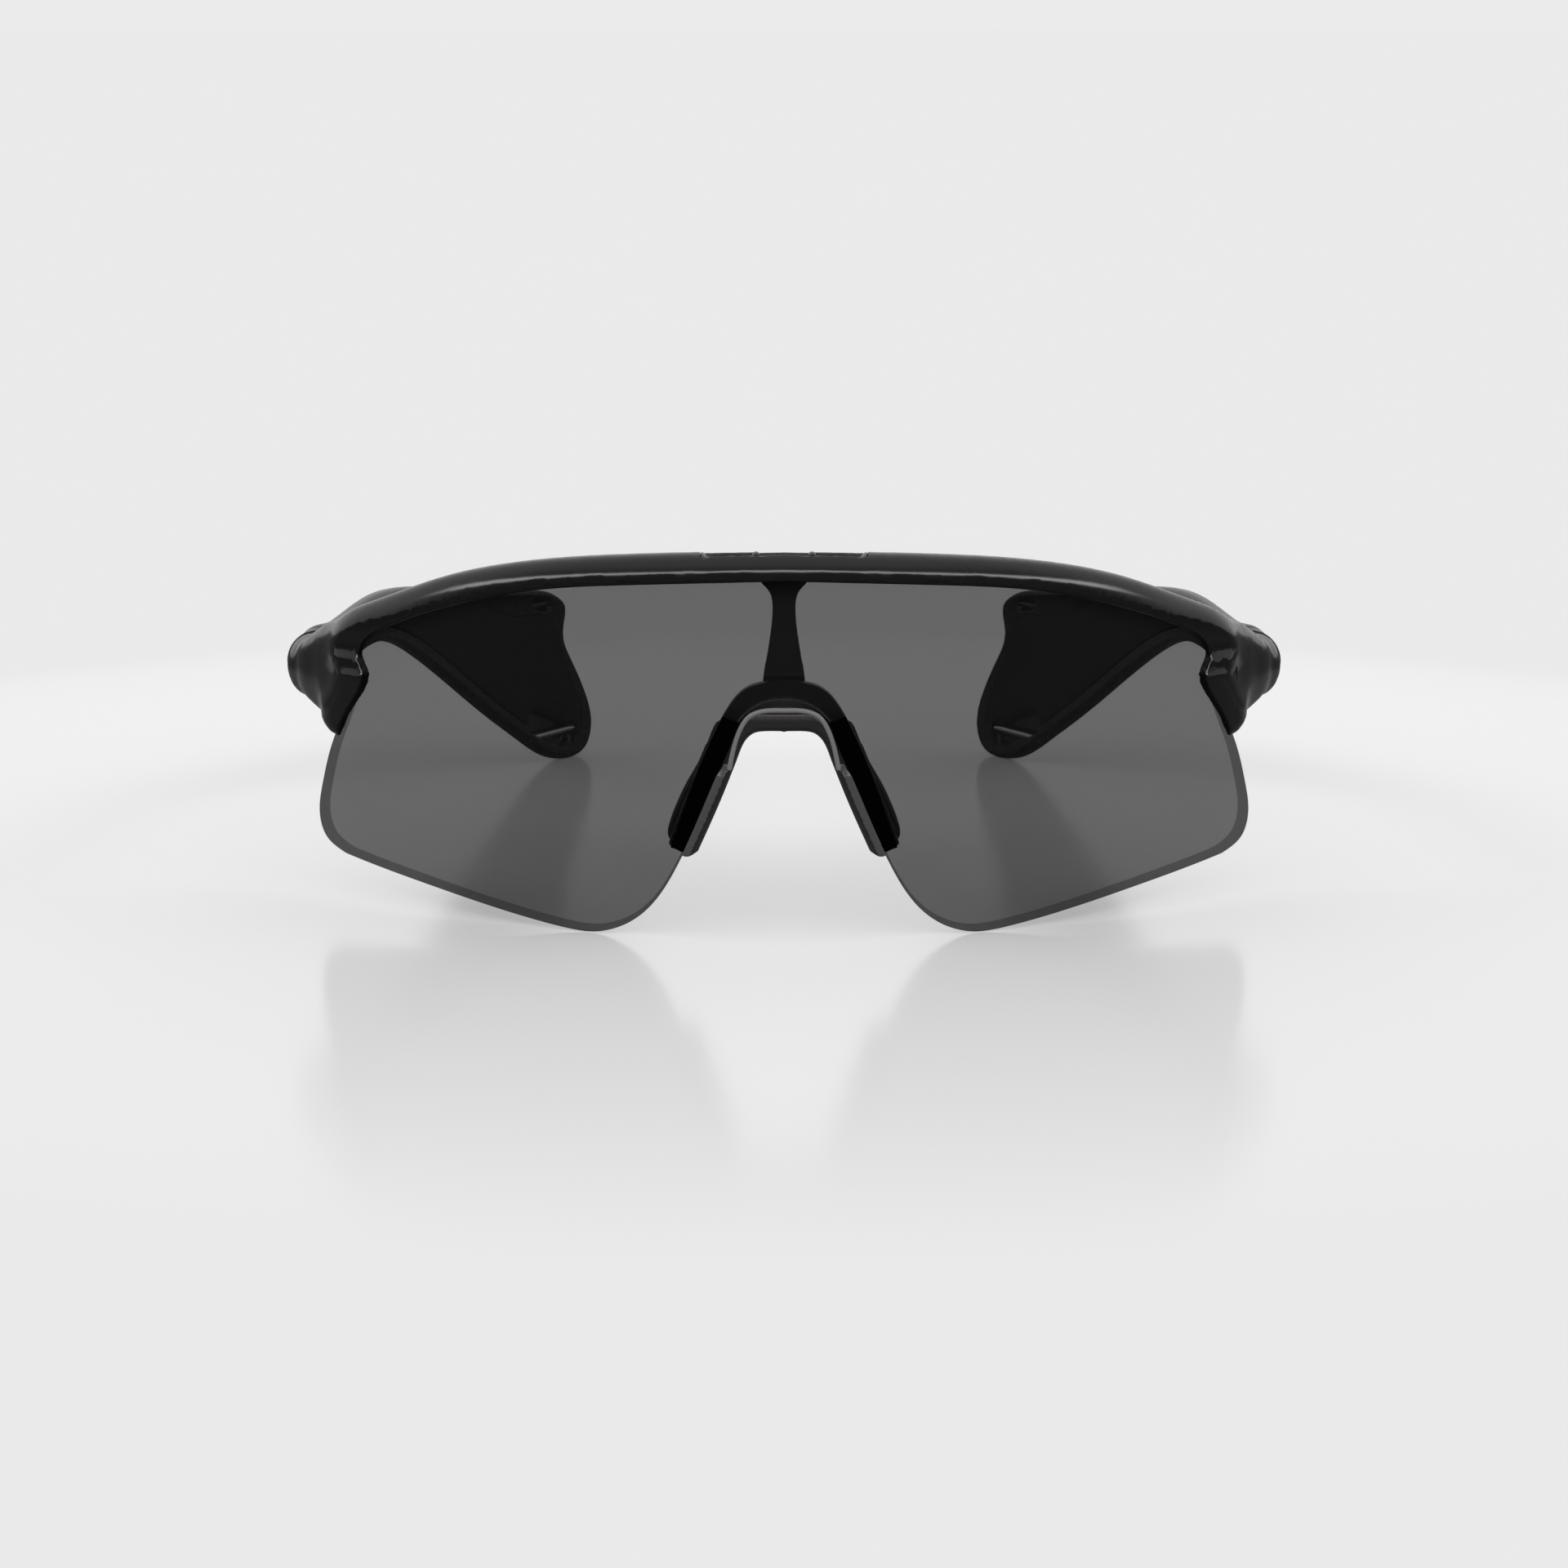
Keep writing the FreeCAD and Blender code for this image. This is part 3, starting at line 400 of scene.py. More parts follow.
def square_view(x, y, z, outward):
    """Where a line from the middle of the lens's curve through a point crosses the surface that lies
    outward of the lens face, seen from the front."""
    dx, dy, dz = x, y - LENS_AXIS_Y, z - LENS_EQUATOR
    length = np.sqrt(dx ** 2 + dy ** 2 + dz ** 2)
    level = np.hypot(dx, dy) / length
    middle = LENS_WRAP_RADIUS - LENS_FALL_RADIUS
    reach = level * middle + np.sqrt((level * middle) ** 2 - middle ** 2 + (LENS_FALL_RADIUS + outward) ** 2)
    return dx / length * reach, LENS_EQUATOR + dz / length * reach


def cast(name, shape, low, high, cell, material, mirror=False, thinning=0.0):
    """A smooth closed mesh where a shape's distance is zero, between two corners.

    The shape is only looked at closely in the small blocks that its surface may pass through.
    """
    side = 8
    block_size = side * cell
    counts = [int(np.ceil((b - a) / block_size)) for a, b in zip(low, high)]
    steps = np.stack(np.meshgrid(*[np.arange(n) for n in counts], indexing="ij"), axis=-1).reshape(-1, 3)
    middles = np.array(low) + (steps + 0.5) * block_size
    far = shape(*middles.T)
    band = 4 * cell
    values = np.kron(np.clip(far, -band, band).reshape(counts), np.ones((side,) * 3)).astype(np.float32)
    inner = np.stack(np.meshgrid(*[np.arange(side)] * 3, indexing="ij"), axis=-1)
    near = steps[np.abs(far) < 1.3 * block_size]
    for first in range(0, len(near), 1500):
        cells = near[first:first + 1500][:, None, None, None, :] * side + inner[None]
        x, y, z = np.moveaxis(np.array(low) + cells * cell, -1, 0)
        values[cells[..., 0], cells[..., 1], cells[..., 2]] = np.clip(shape(x, y, z), -band, band)
    grid = openvdb.FloatGrid(band)
    grid.copyFromArray(values)
    points, triangles, quads = grid.convertToPolygons(0.0, thinning)
    points = np.asarray(points, float) * cell + np.array(low)

    def slope(at):
        parts = []
        for axis in range(3):
            nudge = np.zeros(3)
            nudge[axis] = 0.03
            ahead = shape(*(at + nudge).T)
            behind = shape(*(at - nudge).T)
            parts.append((ahead - behind) / 0.06)
        return np.stack(parts, axis=1)

    for _ in range(3):
        way = slope(points)
        push = shape(*points.T) / np.maximum(np.sum(way ** 2, axis=1), 0.05)
        points = points - way * np.clip(push, -0.4 * cell, 0.4 * cell)[:, None]
    way = slope(points)
    normals = way / np.maximum(np.linalg.norm(way, axis=1), 1e-9)[:, None]
    faces = [list(map(int, f)) for f in triangles] + [list(map(int, f)) for f in quads]
    first = np.array([f[:3] for f in faces])
    across = np.cross(points[first[:, 1]] - points[first[:, 0]], points[first[:, 2]] - points[first[:, 0]])
    if np.sum(across * normals[first[:, 0]]) < 0:
        faces = [f[::-1] for f in faces]
    if mirror:
        flip = np.array([-1.0, 1.0, 1.0])
        points = points * flip
        normals = normals * flip
        faces = [f[::-1] for f in faces]
    print(name, len(points), "points", 2 * len(quads) + len(triangles), "triangles")
    return mesh_piece(name, points, faces, normals, material)


def gloss_plastic(name, colour, roughness, specular, grain=2600.0, bump_mm=0.0006):
    """Injection-moulded nylon with a fine satin grain over a gloss surface."""
    material, tree, shader = start_material(name, colour, roughness, specular)
    fine = surface_noise(tree, grain, 5.0, 3.1)
    broad = surface_noise(tree, 60.0, 2.0, 7.7)
    tint(tree, broad, colour, tuple(1.3 * c for c in colour), shader.inputs["Base Color"])
    vary(tree, fine, roughness * 0.85, roughness * 1.15, shader.inputs["Roughness"])
    add_bump(tree, fine, bump_mm, shader)
    return material


brow_face = outline_field(closed_outline(
    [BROW_FACE_EDGE, PRONG_FACE_EDGE, PRONG_TIP, WINDOW_SIDE[::-1], [WINDOW_SIDE[0], (0, 44.0)],
     [(0, 44.0), (-10, 44.0)], [(-10, 44.0), (-10, 54.0)], [(-10, 54.0), (0, 54.0)]], 0.5))
window = outline_field(closed_outline(
    [WINDOW_TOP, WINDOW_SIDE, [WINDOW_SIDE[-1], (66.6, 24.0)], [(66.6, 24.0), (66.6, 0)],
     [(66.6, 0), (-10, 0)], [(-10, 0), (-10, 52.3)], [(-10, 52.3), (0, 52.3)]], 0.5))
lens_outline = outline_field(closed_outline(both_sides([LENS_TOP, LENS_SIDE, LENS_BOTTOM, LENS_NOTCH]), 0.8))
crown = lookup([(-BROW_DEPTH - 2, -1.6), (-BROW_DEPTH, -0.24), (-3.4, 0.72), (-1.1, 1.0), (1.1, 0.62),
                (FRONT_PROUD, 0.0)])
# two shallow ledges across the face of the end piece, and the lean of the prong below them: z, depth
end_ledges = lookup([(24.0, -0.75), (29.0, -0.5), (35.2, -0.02), (35.6, -0.02), (36.4, -0.32),
                     (37.8, -0.34), (38.6, -0.64), (41.0, -0.62), (60.0, -0.62)])
# the horn's sections from the brow back to the bulb: y, x from and to, z from and to
HORN = [(12.0, 57.0, 61.0, 31.0, 41.0), (17.5, 59.0, 63.2, 29.6, 41.6), (23.0, 61.4, 66.9, 27.6, 42.6),
        (28.5, 64.0, 69.6, 28.0, 41.0), (33.5, 66.2, 72.0, 29.2, 38.8), (39.5, 67.2, 73.0, 30.0, 37.4)]
horn_sides = [lookup([(row[0], row[i]) for row in HORN]) for i in range(1, 5)]


def horn(x, y, z):
    """The tapering cheek between the brow's end and the hinge bulb."""
    x_low, x_high, z_low, z_high = (side(y) for side in horn_sides)
    half_x = (x_high - x_low) / 2
    half_z = (z_high - z_low) / 2
    across = np.abs((x - x_low) / half_x - 1) ** 2.6
    upright = np.abs((z - z_low) / half_z - 1) ** 2.6
    size = (across + upright) ** (1 / 2.6)
    return joined_corner((size - 1) * np.minimum(half_x, half_z), y - HINGE_Y, 1.0)


def brow_bar(depth, face_x, face_z):
    """The swept bar itself: its outline on the face, swelling behind the face into the crown."""
    rise = CROWN_RISE * (1 + 0.35 * np.clip(face_x / 63, 0, 1) ** 4)
    upright = (FRONT_PROUD - depth) * (face_z - LENS_EQUATOR) / LENS_WRAP_RADIUS
    return (brow_face(face_x, face_z) - rise * crown(depth) - upright) * 0.8


def seen_window(x, y, z):
    """The window carried straight back from the face, the way the wearer's front is looked at."""
    face_y = LENS_AXIS_Y - np.sqrt((LENS_WRAP_RADIUS + FRONT_PROUD) ** 2 - np.clip(x, 0, 80) ** 2)
    behind = np.maximum(y - face_y, 0)
    return window(x - 0.1 * behind, z + 0.17 * behind)


def brow_shape(x, y, z):
    x = np.abs(x)
    depth = lens_depth(x, y, z)
    face_x, face_z = square_view(x, y, z, FRONT_PROUD)
    bar = joined_corner(brow_bar(depth, face_x, face_z), -depth - BROW_DEPTH, 1.2)
    body = blended(bar, horn(x, y, z), 2.4)
    bulb = egg(x, y, z, (HINGE_X, HINGE_Y, HINGE_Z), (BULB_RADIUS, BULB_RADIUS, BULB_HALF_HEIGHT))
    body = blended(body, bulb, 1.8)
    ledge = end_ledges(face_z) * np.clip((face_x - 46) / 13, 0, 1) ** 2
    body = joined_corner(body, depth - FRONT_PROUD - ledge, 0.5)
    body = joined_corner(body, -window(face_x, face_z), 0.3)
    hollow = np.maximum(seen_window(x, y, z) - 0.25, depth + LENS_THICKNESS + 0.4)
    body = joined_corner(body, -hollow, 0.4)
    lens_x, lens_z = square_view(x, y, z, 0)
    lens_room = np.maximum(lens_outline(lens_x, lens_z) - 0.4, np.abs(depth + LENS_THICKNESS / 2) - 1.3)
    body = np.maximum(body, -lens_room)
    turn_room = np.maximum(np.hypot(x - HINGE_X, y - HINGE_Y) - 2.7, np.abs(z - HINGE_Z) - 1.8)
    swing_room = block(x, y, z, (HINGE_X - 9, HINGE_X + 1.3), (HINGE_Y - 1.3, HINGE_Y + 9),
                       (HINGE_Z - 1.8, HINGE_Z + 1.8))
    body = joined_corner(body, -np.minimum(turn_room, swing_room), 0.2)
    screw_room = np.maximum(np.hypot(x - HINGE_X, y - HINGE_Y) - 1.4, z - (HINGE_Z - BULB_HALF_HEIGHT + 1.0))
    body = joined_corner(body, -screw_room, 0.15)
    trough_end = 11.6 - 1.5 * np.clip(1 - (z - 54.5) / 0.8, 0, 1)
    trough = np.maximum(np.maximum(x - trough_end, 54.5 - z), np.abs(depth + 1.9) - 2.3)
    body = joined_corner(body, -trough, 0.15)
    screw_seat = np.maximum(np.hypot(x - 1.9, z - 52.2) - 1.0, depth + 5.05)
    return joined_corner(body, -screw_seat, 0.1)


black_gloss = gloss_plastic("gloss black nylon", (0.0025, 0.0025, 0.0027), 0.16, 0.4)
brow = cast("brow_moulding", brow_shape, (-76, -11, 26), (76, 46, 58), BROW_CELL, black_gloss, False,
            0.06)
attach(brow, "front")
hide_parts("brow_frame")

# ---------------------------------------- lens gasket
# A thin black rubber channel that the top edge of the lens is pressed into inside the brow.


def soft_rubber(name, colour, grain, bump_mm):
    """Matte moulded rubber with a fine spark-eroded grain."""
    material, tree, shader = start_material(name, colour, 0.6, 0.2)
    fine = surface_noise(tree, grain, 4.0, 2.3)
    broad = surface_noise(tree, 120.0, 2.0, 5.9)
    tint(tree, broad, colour, tuple(1.6 * c for c in colour), shader.inputs["Base Color"])
    vary(tree, fine, 0.5, 0.72, shader.inputs["Roughness"])
    add_bump(tree, fine, bump_mm, shader)
    return material


def finish_node(node, material):
    """Gives a CAD node its material."""
    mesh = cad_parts[node].data
    mesh.materials.clear()
    mesh.materials.append(material)


seal_rubber = soft_rubber("seal rubber", (0.006, 0.006, 0.006), 5000.0, 0.003)


def gasket_shape(x, y, z):
    x = np.abs(x)
    depth = lens_depth(x, y, z)
    face_x, face_z = square_view(x, y, z, FRONT_PROUD)
    lens_x, lens_z = square_view(x, y, z, 0)
    edge = lens_outline(lens_x, lens_z)
    body = np.maximum(np.maximum(edge - 0.37, -1.9 - edge), np.abs(depth + LENS_THICKNESS / 2) - 1.27)
    body = np.maximum(body, brow_bar(depth, face_x, face_z) + 0.4)
    body = np.maximum(body, -np.maximum(edge - 0.02, np.abs(depth + LENS_THICKNESS / 2) - 0.93))
    body = np.maximum(body, 0.2 - window(face_x, face_z))
    return np.maximum(body, 0.3 - seen_window(x, y, z))


gasket = cast("lens_gasket_channel", gasket_shape, (-68, -9, 30), (68, 32, 55), 0.3, seal_rubber)
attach(gasket, "front")
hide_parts("lens_gasket")

# ---------------------------------------- vent insert
# A satin grey trim strip clipped into the trough in the top of the brow, with a notch in its middle.

VENT_HALF = 11.55
NOTCH_HALF = 3.4


def vent_shape(x, y, z):
    x = np.abs(x)
    depth = lens_depth(x, y, z)
    face_x, face_z = square_view(x, y, z, FRONT_PROUD)
    top = brow_bar(depth, face_x, face_z) / 0.8
    body = np.maximum(np.maximum(x - VENT_HALF, 54.4 - z), np.abs(depth + 1.9) - 2.25)
    body = joined_corner(body, top + 0.04, 0.2)
    bench = np.maximum(np.maximum(-2.7 - depth, -0.75 - top), x - 11.3 - top)
    body = joined_corner(body, -bench, 0.15)
    notch = np.maximum(np.maximum(x - NOTCH_HALF, -0.9 - top), -2.9 - depth)
    body = joined_corner(body, -notch, 0.3)
    round_lip = np.hypot(x - NOTCH_HALF - 0.5, (top + 0.45) * 1.2) - 0.3
    lip = np.hypot(round_lip, np.clip(-1.0 - depth, 0, 9)) - 0.22
    return np.minimum(body, np.maximum(lip, np.abs(depth + 1.0) - 0.9))


trim_grey = gloss_plastic("satin trim", (0.02, 0.02, 0.021), 0.3, 0.5)
vent = cast("brow_vent_trim", vent_shape, (-12, -9, 54), (12, 2, 57), 0.14, trim_grey)
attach(vent, "front")
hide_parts("brow_vent_insert")

# ---------------------------------------- bridge stalk
# A flat, warm dark strip behind the lens, waisted in the middle. It hangs the nose piece from the brow.

stalk_half = lookup([(34.0, 3.0), (36.8, 3.0), (40.5, 2.5), (45.1, 1.8), (47.9, 1.6), (50.5, 2.2),
                     (51.6, 3.2), (54.0, 3.4)])


def stalk_shape(x, y, z):
    depth = lens_depth(x, y, z)
    front = -2.2 - 2.25 * np.clip((38.6 - z) / 0.6, 0, 1)
    back = -4.2 - 2.1 * np.clip((40.6 - z) / 0.8, 0, 1)
    layer = joined_corner(depth - front, back - depth, 0.3)
    flank = joined_corner(np.abs(x) - stalk_half(z), np.abs(z - 43.9) - 9.3, 0.4)
    return joined_corner(flank, layer, 0.3)


stalk_plastic = gloss_plastic("warm dark nylon", (0.105, 0.082, 0.09), 0.5, 0.2, 1800.0, 0.002)
stalk = cast("bridge_stalk_strip", stalk_shape, (-5, -9, 33), (5, 4, 55), 0.24, stalk_plastic)
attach(stalk, "front")
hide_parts("bridge_stalk")

# ---------------------------------------- nose yoke
# A moulded arch that clips over the notch of the lens. Each arm has a flat front facet, an inner
# facet beside the opening and a soft black channel along its outer side.

YOKE_BACK = 4.4
YOKE_OUTSIDE = [(0, 38.0), (2.9, 37.6), (5.1, 36.9), (6.9, 35.3), (8.5, 32.8), (12.6, 23.9),
                (15.4, 16.4), (16.3, 13.9)]
YOKE_FOOT = [(16.3, 13.9), (13.7, 12.6), (12.1, 13.2)]
YOKE_OPENING = [(12.1, 13.2), (9.2, 20.0), (6.3, 27.6), (5.4, 29.6), (4.2, 30.7), (2.6, 31.0), (0, 31.0)]

yoke_outline = outline_field(closed_outline(both_sides([YOKE_OUTSIDE, YOKE_FOOT, YOKE_OPENING]), 0.4))
opening_border = smooth_run([(13.4, 10.2)] + YOKE_OPENING, 0.4)
opening = outline_field(np.concatenate([opening_border[:-1], mirrored(YOKE_OPENING[::-1])[:1],
                                        [(-p[0], p[1]) for p in opening_border[::-1][1:]]]))
# the front lip of the arch ends at this line
LIP_EDGE = [(0, 33.8), (2.7, 33.7), (4.6, 32.95), (5.6, 31.5), (6.5, 29.2), (7.4, 25.9), (9.5, 21.0)]
lip_feet = [LIP_EDGE[-1], (-LIP_EDGE[-1][0], LIP_EDGE[-1][1])]
lip = outline_field(closed_outline([mirrored(LIP_EDGE), lip_feet], 0.4))
# depth of the front of the yoke by the distance from the opening
arm_facets = lookup([(-1.0, -2.2), (0.0, -0.7), (0.75, 0.7), (0.95, 0.9), (1.2, 0.86), (1.9, 0.5),
                     (2.15, -0.15), (9.0, -0.2)])
arch_facets = lookup([(-1.0, -1.0), (0.0, -0.2), (0.5, 0.75), (0.8, 0.9), (9.0, 0.9)])


def yoke_shape(x, y, z):
    x = np.abs(x)
    depth = lens_depth(x, y, z)
    flank = yoke_outline(x, z)
    from_opening = opening(x, z)
    over_arch = np.clip((z - 24.6) / 1.6, 0, 1)
    arch_front = np.minimum(arch_facets(from_opening), 0.9 - 1.1 * np.clip(lip(x, z) / 0.25, 0, 1))
    front = arm_facets(from_opening) * (1 - over_arch) + arch_front * over_arch
    body = joined_corner(flank, -depth - YOKE_BACK, 0.5)
    body = joined_corner(body, (depth - front) * 0.85, 0.25)
    lens_x, lens_z = square_view(x, y, z, 0)
    groove = np.maximum(lens_outline(lens_x, lens_z) - 0.15, np.abs(depth + LENS_THICKNESS / 2) - 1.05)
    body = np.maximum(body, -groove)
    above = np.maximum(33.6 - z, -depth - LENS_THICKNESS - 0.15)
    return np.maximum(body, -above)


def yoke_plastic(name):
    """Satin black, lighter towards the top of the arch, with a painted highlight on the flat front facet of
    each arm.
    """
    material, tree, shader = start_material(name, (0.02, 0.02, 0.02), 0.3, 0.5)
    fine = surface_noise(tree, 2600.0, 5.0, 6.3)
    place = tree.nodes.new("ShaderNodeTexCoord")
    parts = tree.nodes.new("ShaderNodeSeparateXYZ")
    tree.links.new(place.outputs["Object"], parts.inputs["Vector"])
    rise = tree.nodes.new("ShaderNodeMapRange")
    rise.inputs["From Min"].default_value = 32.6 * MM
    rise.inputs["From Max"].default_value = 34.4 * MM
    tree.links.new(parts.outputs["Z"], rise.inputs["Value"])
    arch_tone_and_facet_highlight = tree.nodes.new("ShaderNodeMix")
    arch_tone_and_facet_highlight.data_type = "RGBA"
    strip = tree.nodes.new("ShaderNodeAttribute")
    strip.attribute_name = "facet_highlight_mask"
    tint(tree, rise.outputs["Result"], (0.012, 0.012, 0.0125), (0.085, 0.075, 0.08), arch_tone_and_facet_highlight.inputs["A"])
    # painted highlight: the flat front facet of each arm is coloured this lighter grey
    arch_tone_and_facet_highlight.inputs["B"].default_value = (0.05, 0.05, 0.052, 1)
    tree.links.new(strip.outputs["Fac"], arch_tone_and_facet_highlight.inputs["Factor"])
    tree.links.new(arch_tone_and_facet_highlight.outputs["Result"], shader.inputs["Base Color"])
    vary(tree, fine, 0.26, 0.34, shader.inputs["Roughness"])
    add_bump(tree, fine, 0.0006, shader)
    return material


yoke = cast("nose_yoke_arch", yoke_shape, (-19, -10, 10), (19, 4, 41), 0.24, yoke_plastic("yoke nylon"))
yoke_points = np.array([tuple(vertex.co) for vertex in yoke.data.vertices]) / MM - frame_shift
yoke_gap = opening(np.abs(yoke_points[:, 0]), yoke_points[:, 2])
yoke_ahead = lens_depth(*yoke_points.T)
# the flat front facet of each arm, picked out for a painted highlight
facet_highlight_mask = (yoke_gap > 0.9) & (yoke_gap < 2.1) & (yoke_points[:, 2] < 24.6) & (yoke_ahead > 0)
yoke.data.attributes.new("facet_highlight_mask", "FLOAT", "POINT").data.foreach_set(
    "value", facet_highlight_mask.astype(float))
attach(yoke, "front")
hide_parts("nose_yoke")

# a thin pale bead along the top edge of the front lip: a painted highlight of that edge
BEAD = [(0, 34.1), (2.8, 34.0), (4.8, 33.2), (5.9, 31.7), (6.8, 29.3), (7.6, 25.8)]
bead_run = smooth_run(BEAD, 0.25)


def bead_shape(x, y, z):
    x = np.abs(x)
    away = np.full(np.shape(x), 1e9)
    for (ax, az), (bx, bz) in zip(bead_run, bead_run[1:]):
        run, rise = bx - ax, bz - az
        share = np.clip(((x - ax) * run + (z - az) * rise) / (run ** 2 + rise ** 2), 0, 1)
        away = np.minimum(away, np.hypot(x - ax - share * run, z - az - share * rise))
    return np.hypot(away, lens_depth(x, y, z) - 0.55) - 0.36


# painted highlight: the pale colour of the bead stands for the light caught by the lip's edge
lip_highlight_paint, bead_tree, bead_shader = start_material("painted lip highlight", (0.13, 0.13, 0.13), 0.4, 0.3)
bead_grain = surface_noise(bead_tree, 3000.0, 3.0, 2.2)
tint(bead_tree, bead_grain, (0.12, 0.12, 0.12), (0.15, 0.15, 0.15), bead_shader.inputs["Base Color"])
add_bump(bead_tree, bead_grain, 0.001, bead_shader)
bead = cast("yoke_lip_highlight_bead", bead_shape, (-9, -9, 24), (9, -4, 36), 0.14, lip_highlight_paint)
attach(bead, "front")

# ---------------------------------------- nose pads
# Soft rubber wings pegged to the back of the yoke, broad at the front and narrowing to the back.

PAD_FRONT = [(7.8, 32.6), (9.4, 30.2), (12.7, 23.4), (15.4, 17.2), (15.5, 14.2), (13.8, 13.6),
             (12.4, 15.4), (10.4, 20.6), (8.0, 27.0), (7.1, 31.0)]
PAD_MIDDLE = [(8.9, 31.0), (10.8, 28.0), (13.8, 22.2), (16.1, 16.8), (16.2, 14.0), (14.9, 13.3),
              (13.4, 15.2), (11.2, 20.4), (8.8, 26.4), (8.0, 29.8)]
PAD_BACK = [(10.4, 27.4), (11.9, 25.0), (14.4, 20.2), (16.1, 16.4), (16.1, 14.2), (15.2, 13.8),
            (14.2, 15.4), (12.4, 19.4), (10.6, 24.0), (9.8, 26.4)]
PAD_DEPTH = 8.5
pad_front_y = float(on_lens(np.array(12.0), np.array(24.0), np.array(-YOKE_BACK))[0][1])


def ring_outline(points):
    """A closed smooth outline through a ring of points."""
    around = points[-3:] + points + points[:4]
    curve = smooth_run(around, 0.3)
    gap = np.sum((curve - points[0]) ** 2, axis=1)
    half = len(curve) // 2
    return curve[np.argmin(gap[:half]):half + np.argmin(gap[half:])]


pad_stations = [(pad_front_y - 1.6, outline_field(ring_outline(PAD_FRONT), 0.1)),
                (pad_front_y + 0.45 * PAD_DEPTH, outline_field(ring_outline(PAD_MIDDLE), 0.1)),
                (pad_front_y + PAD_DEPTH, outline_field(ring_outline(PAD_BACK), 0.1))]


def pad_shape(x, y, z):
    distances = [field(x, z) for _, field in pad_stations]
    places = [at for at, _ in pad_stations]
    first = np.clip((y - places[0]) / (places[1] - places[0]), 0, 1)
    second = np.clip((y - places[1]) / (places[2] - places[1]), 0, 1)
    flank = distances[0] * (1 - first) + distances[1] * first
    flank = flank * (1 - second) + distances[2] * second
    body = joined_corner(flank, y - places[2], 0.9)
    return joined_corner(body, lens_depth(x, y, z) + YOKE_BACK + 0.05, 0.25)


pad_rubber = soft_rubber("pad rubber", (0.012, 0.012, 0.0125), 4200.0, 0.003)
for side, mirror in (("left", False), ("right", True)):
    pad = cast("nose_pad_wing_" + side, pad_shape, (4, -6, 10), (20, 12, 36), 0.28, pad_rubber, mirror)
    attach(pad, "front")
    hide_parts("nose_pad_" + side)

# the black channel strip laid along the front of each arm
CHANNEL = [(8.6, 33.2), (6.9, 32.5), (6.3, 32.4), (7.6, 28.7), (10.5, 22.2), (13.5, 14.3), (13.9, 13.2),
           (16.0, 13.9), (15.2, 16.2), (12.5, 23.9)]
channel_runs = [CHANNEL[:3], CHANNEL[2:7], CHANNEL[6:8], CHANNEL[7:] + CHANNEL[:1]]
channel_outline = outline_field(closed_outline(channel_runs, 0.3), 0.1)


def channel_shape(x, y, z):
    depth = lens_depth(x, y, z)
    layer = np.abs(depth - 0.25) - 0.2
    return joined_corner(channel_outline(x, z), layer, 0.12)


CHANNEL_TONE = (0.0006, 0.0006, 0.0006)
channel_rubber, channel_tree, channel_shader = start_material("channel rubber", CHANNEL_TONE, 0.9, 0.0)
channel_grain = surface_noise(channel_tree, 5000.0, 3.0, 8.2)
vary(channel_tree, channel_grain, 0.8, 1.0, channel_shader.inputs["Roughness"])
add_bump(channel_tree, channel_grain, 0.01, channel_shader)
for side, mirror in (("left", False), ("right", True)):
    channel = cast("yoke_channel_" + side, channel_shape, (4, -8, 11), (18, 2, 35), 0.16, channel_rubber,
                   mirror)
    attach(channel, "front")

# ---------------------------------------- hinges
# Steel leaves with a brass bushing, nylon washers and cross pins. These are turned and milled parts,
# so they stay as they are and get their metal.


def bare_metal(name, colour, roughness):
    """Metal with fine turning marks."""
    material, tree, shader = start_material(name, colour, roughness, 0.5)
    shader.inputs["Metallic"].default_value = 1.0
    marks = surface_noise(tree, 4000.0, 3.0, 9.4)
    tint(tree, marks, colour, tuple(0.8 * c for c in colour), shader.inputs["Base Color"])
    vary(tree, marks, roughness * 0.7, roughness * 1.3, shader.inputs["Roughness"])
    add_bump(tree, marks, 0.003, shader)
    return material


dark_steel = bare_metal("blackened steel", (0.08, 0.08, 0.085), 0.35)
bright_steel = bare_metal("bright steel", (0.55, 0.55, 0.56), 0.25)
bushing_brass = bare_metal("bushing brass", (0.7, 0.48, 0.2), 0.3)
washer_nylon = soft_rubber("washer nylon", (0.4, 0.38, 0.34), 3000.0, 0.002)
for side in ("left", "right"):
    finish_node("hinge_leaf_" + side, dark_steel)
    finish_node("leaf_pins_" + side, bright_steel)
    finish_node("hinge_bushing_" + side, bushing_brass)
    finish_node("hinge_washers_" + side, washer_nylon)

# ---------------------------------------- screws
# Five small machine screws: two hold the stalk in the brow, one holds the yoke on the stalk, and one
# stands in each hinge. Each has a bevelled head with a six-sided recess.


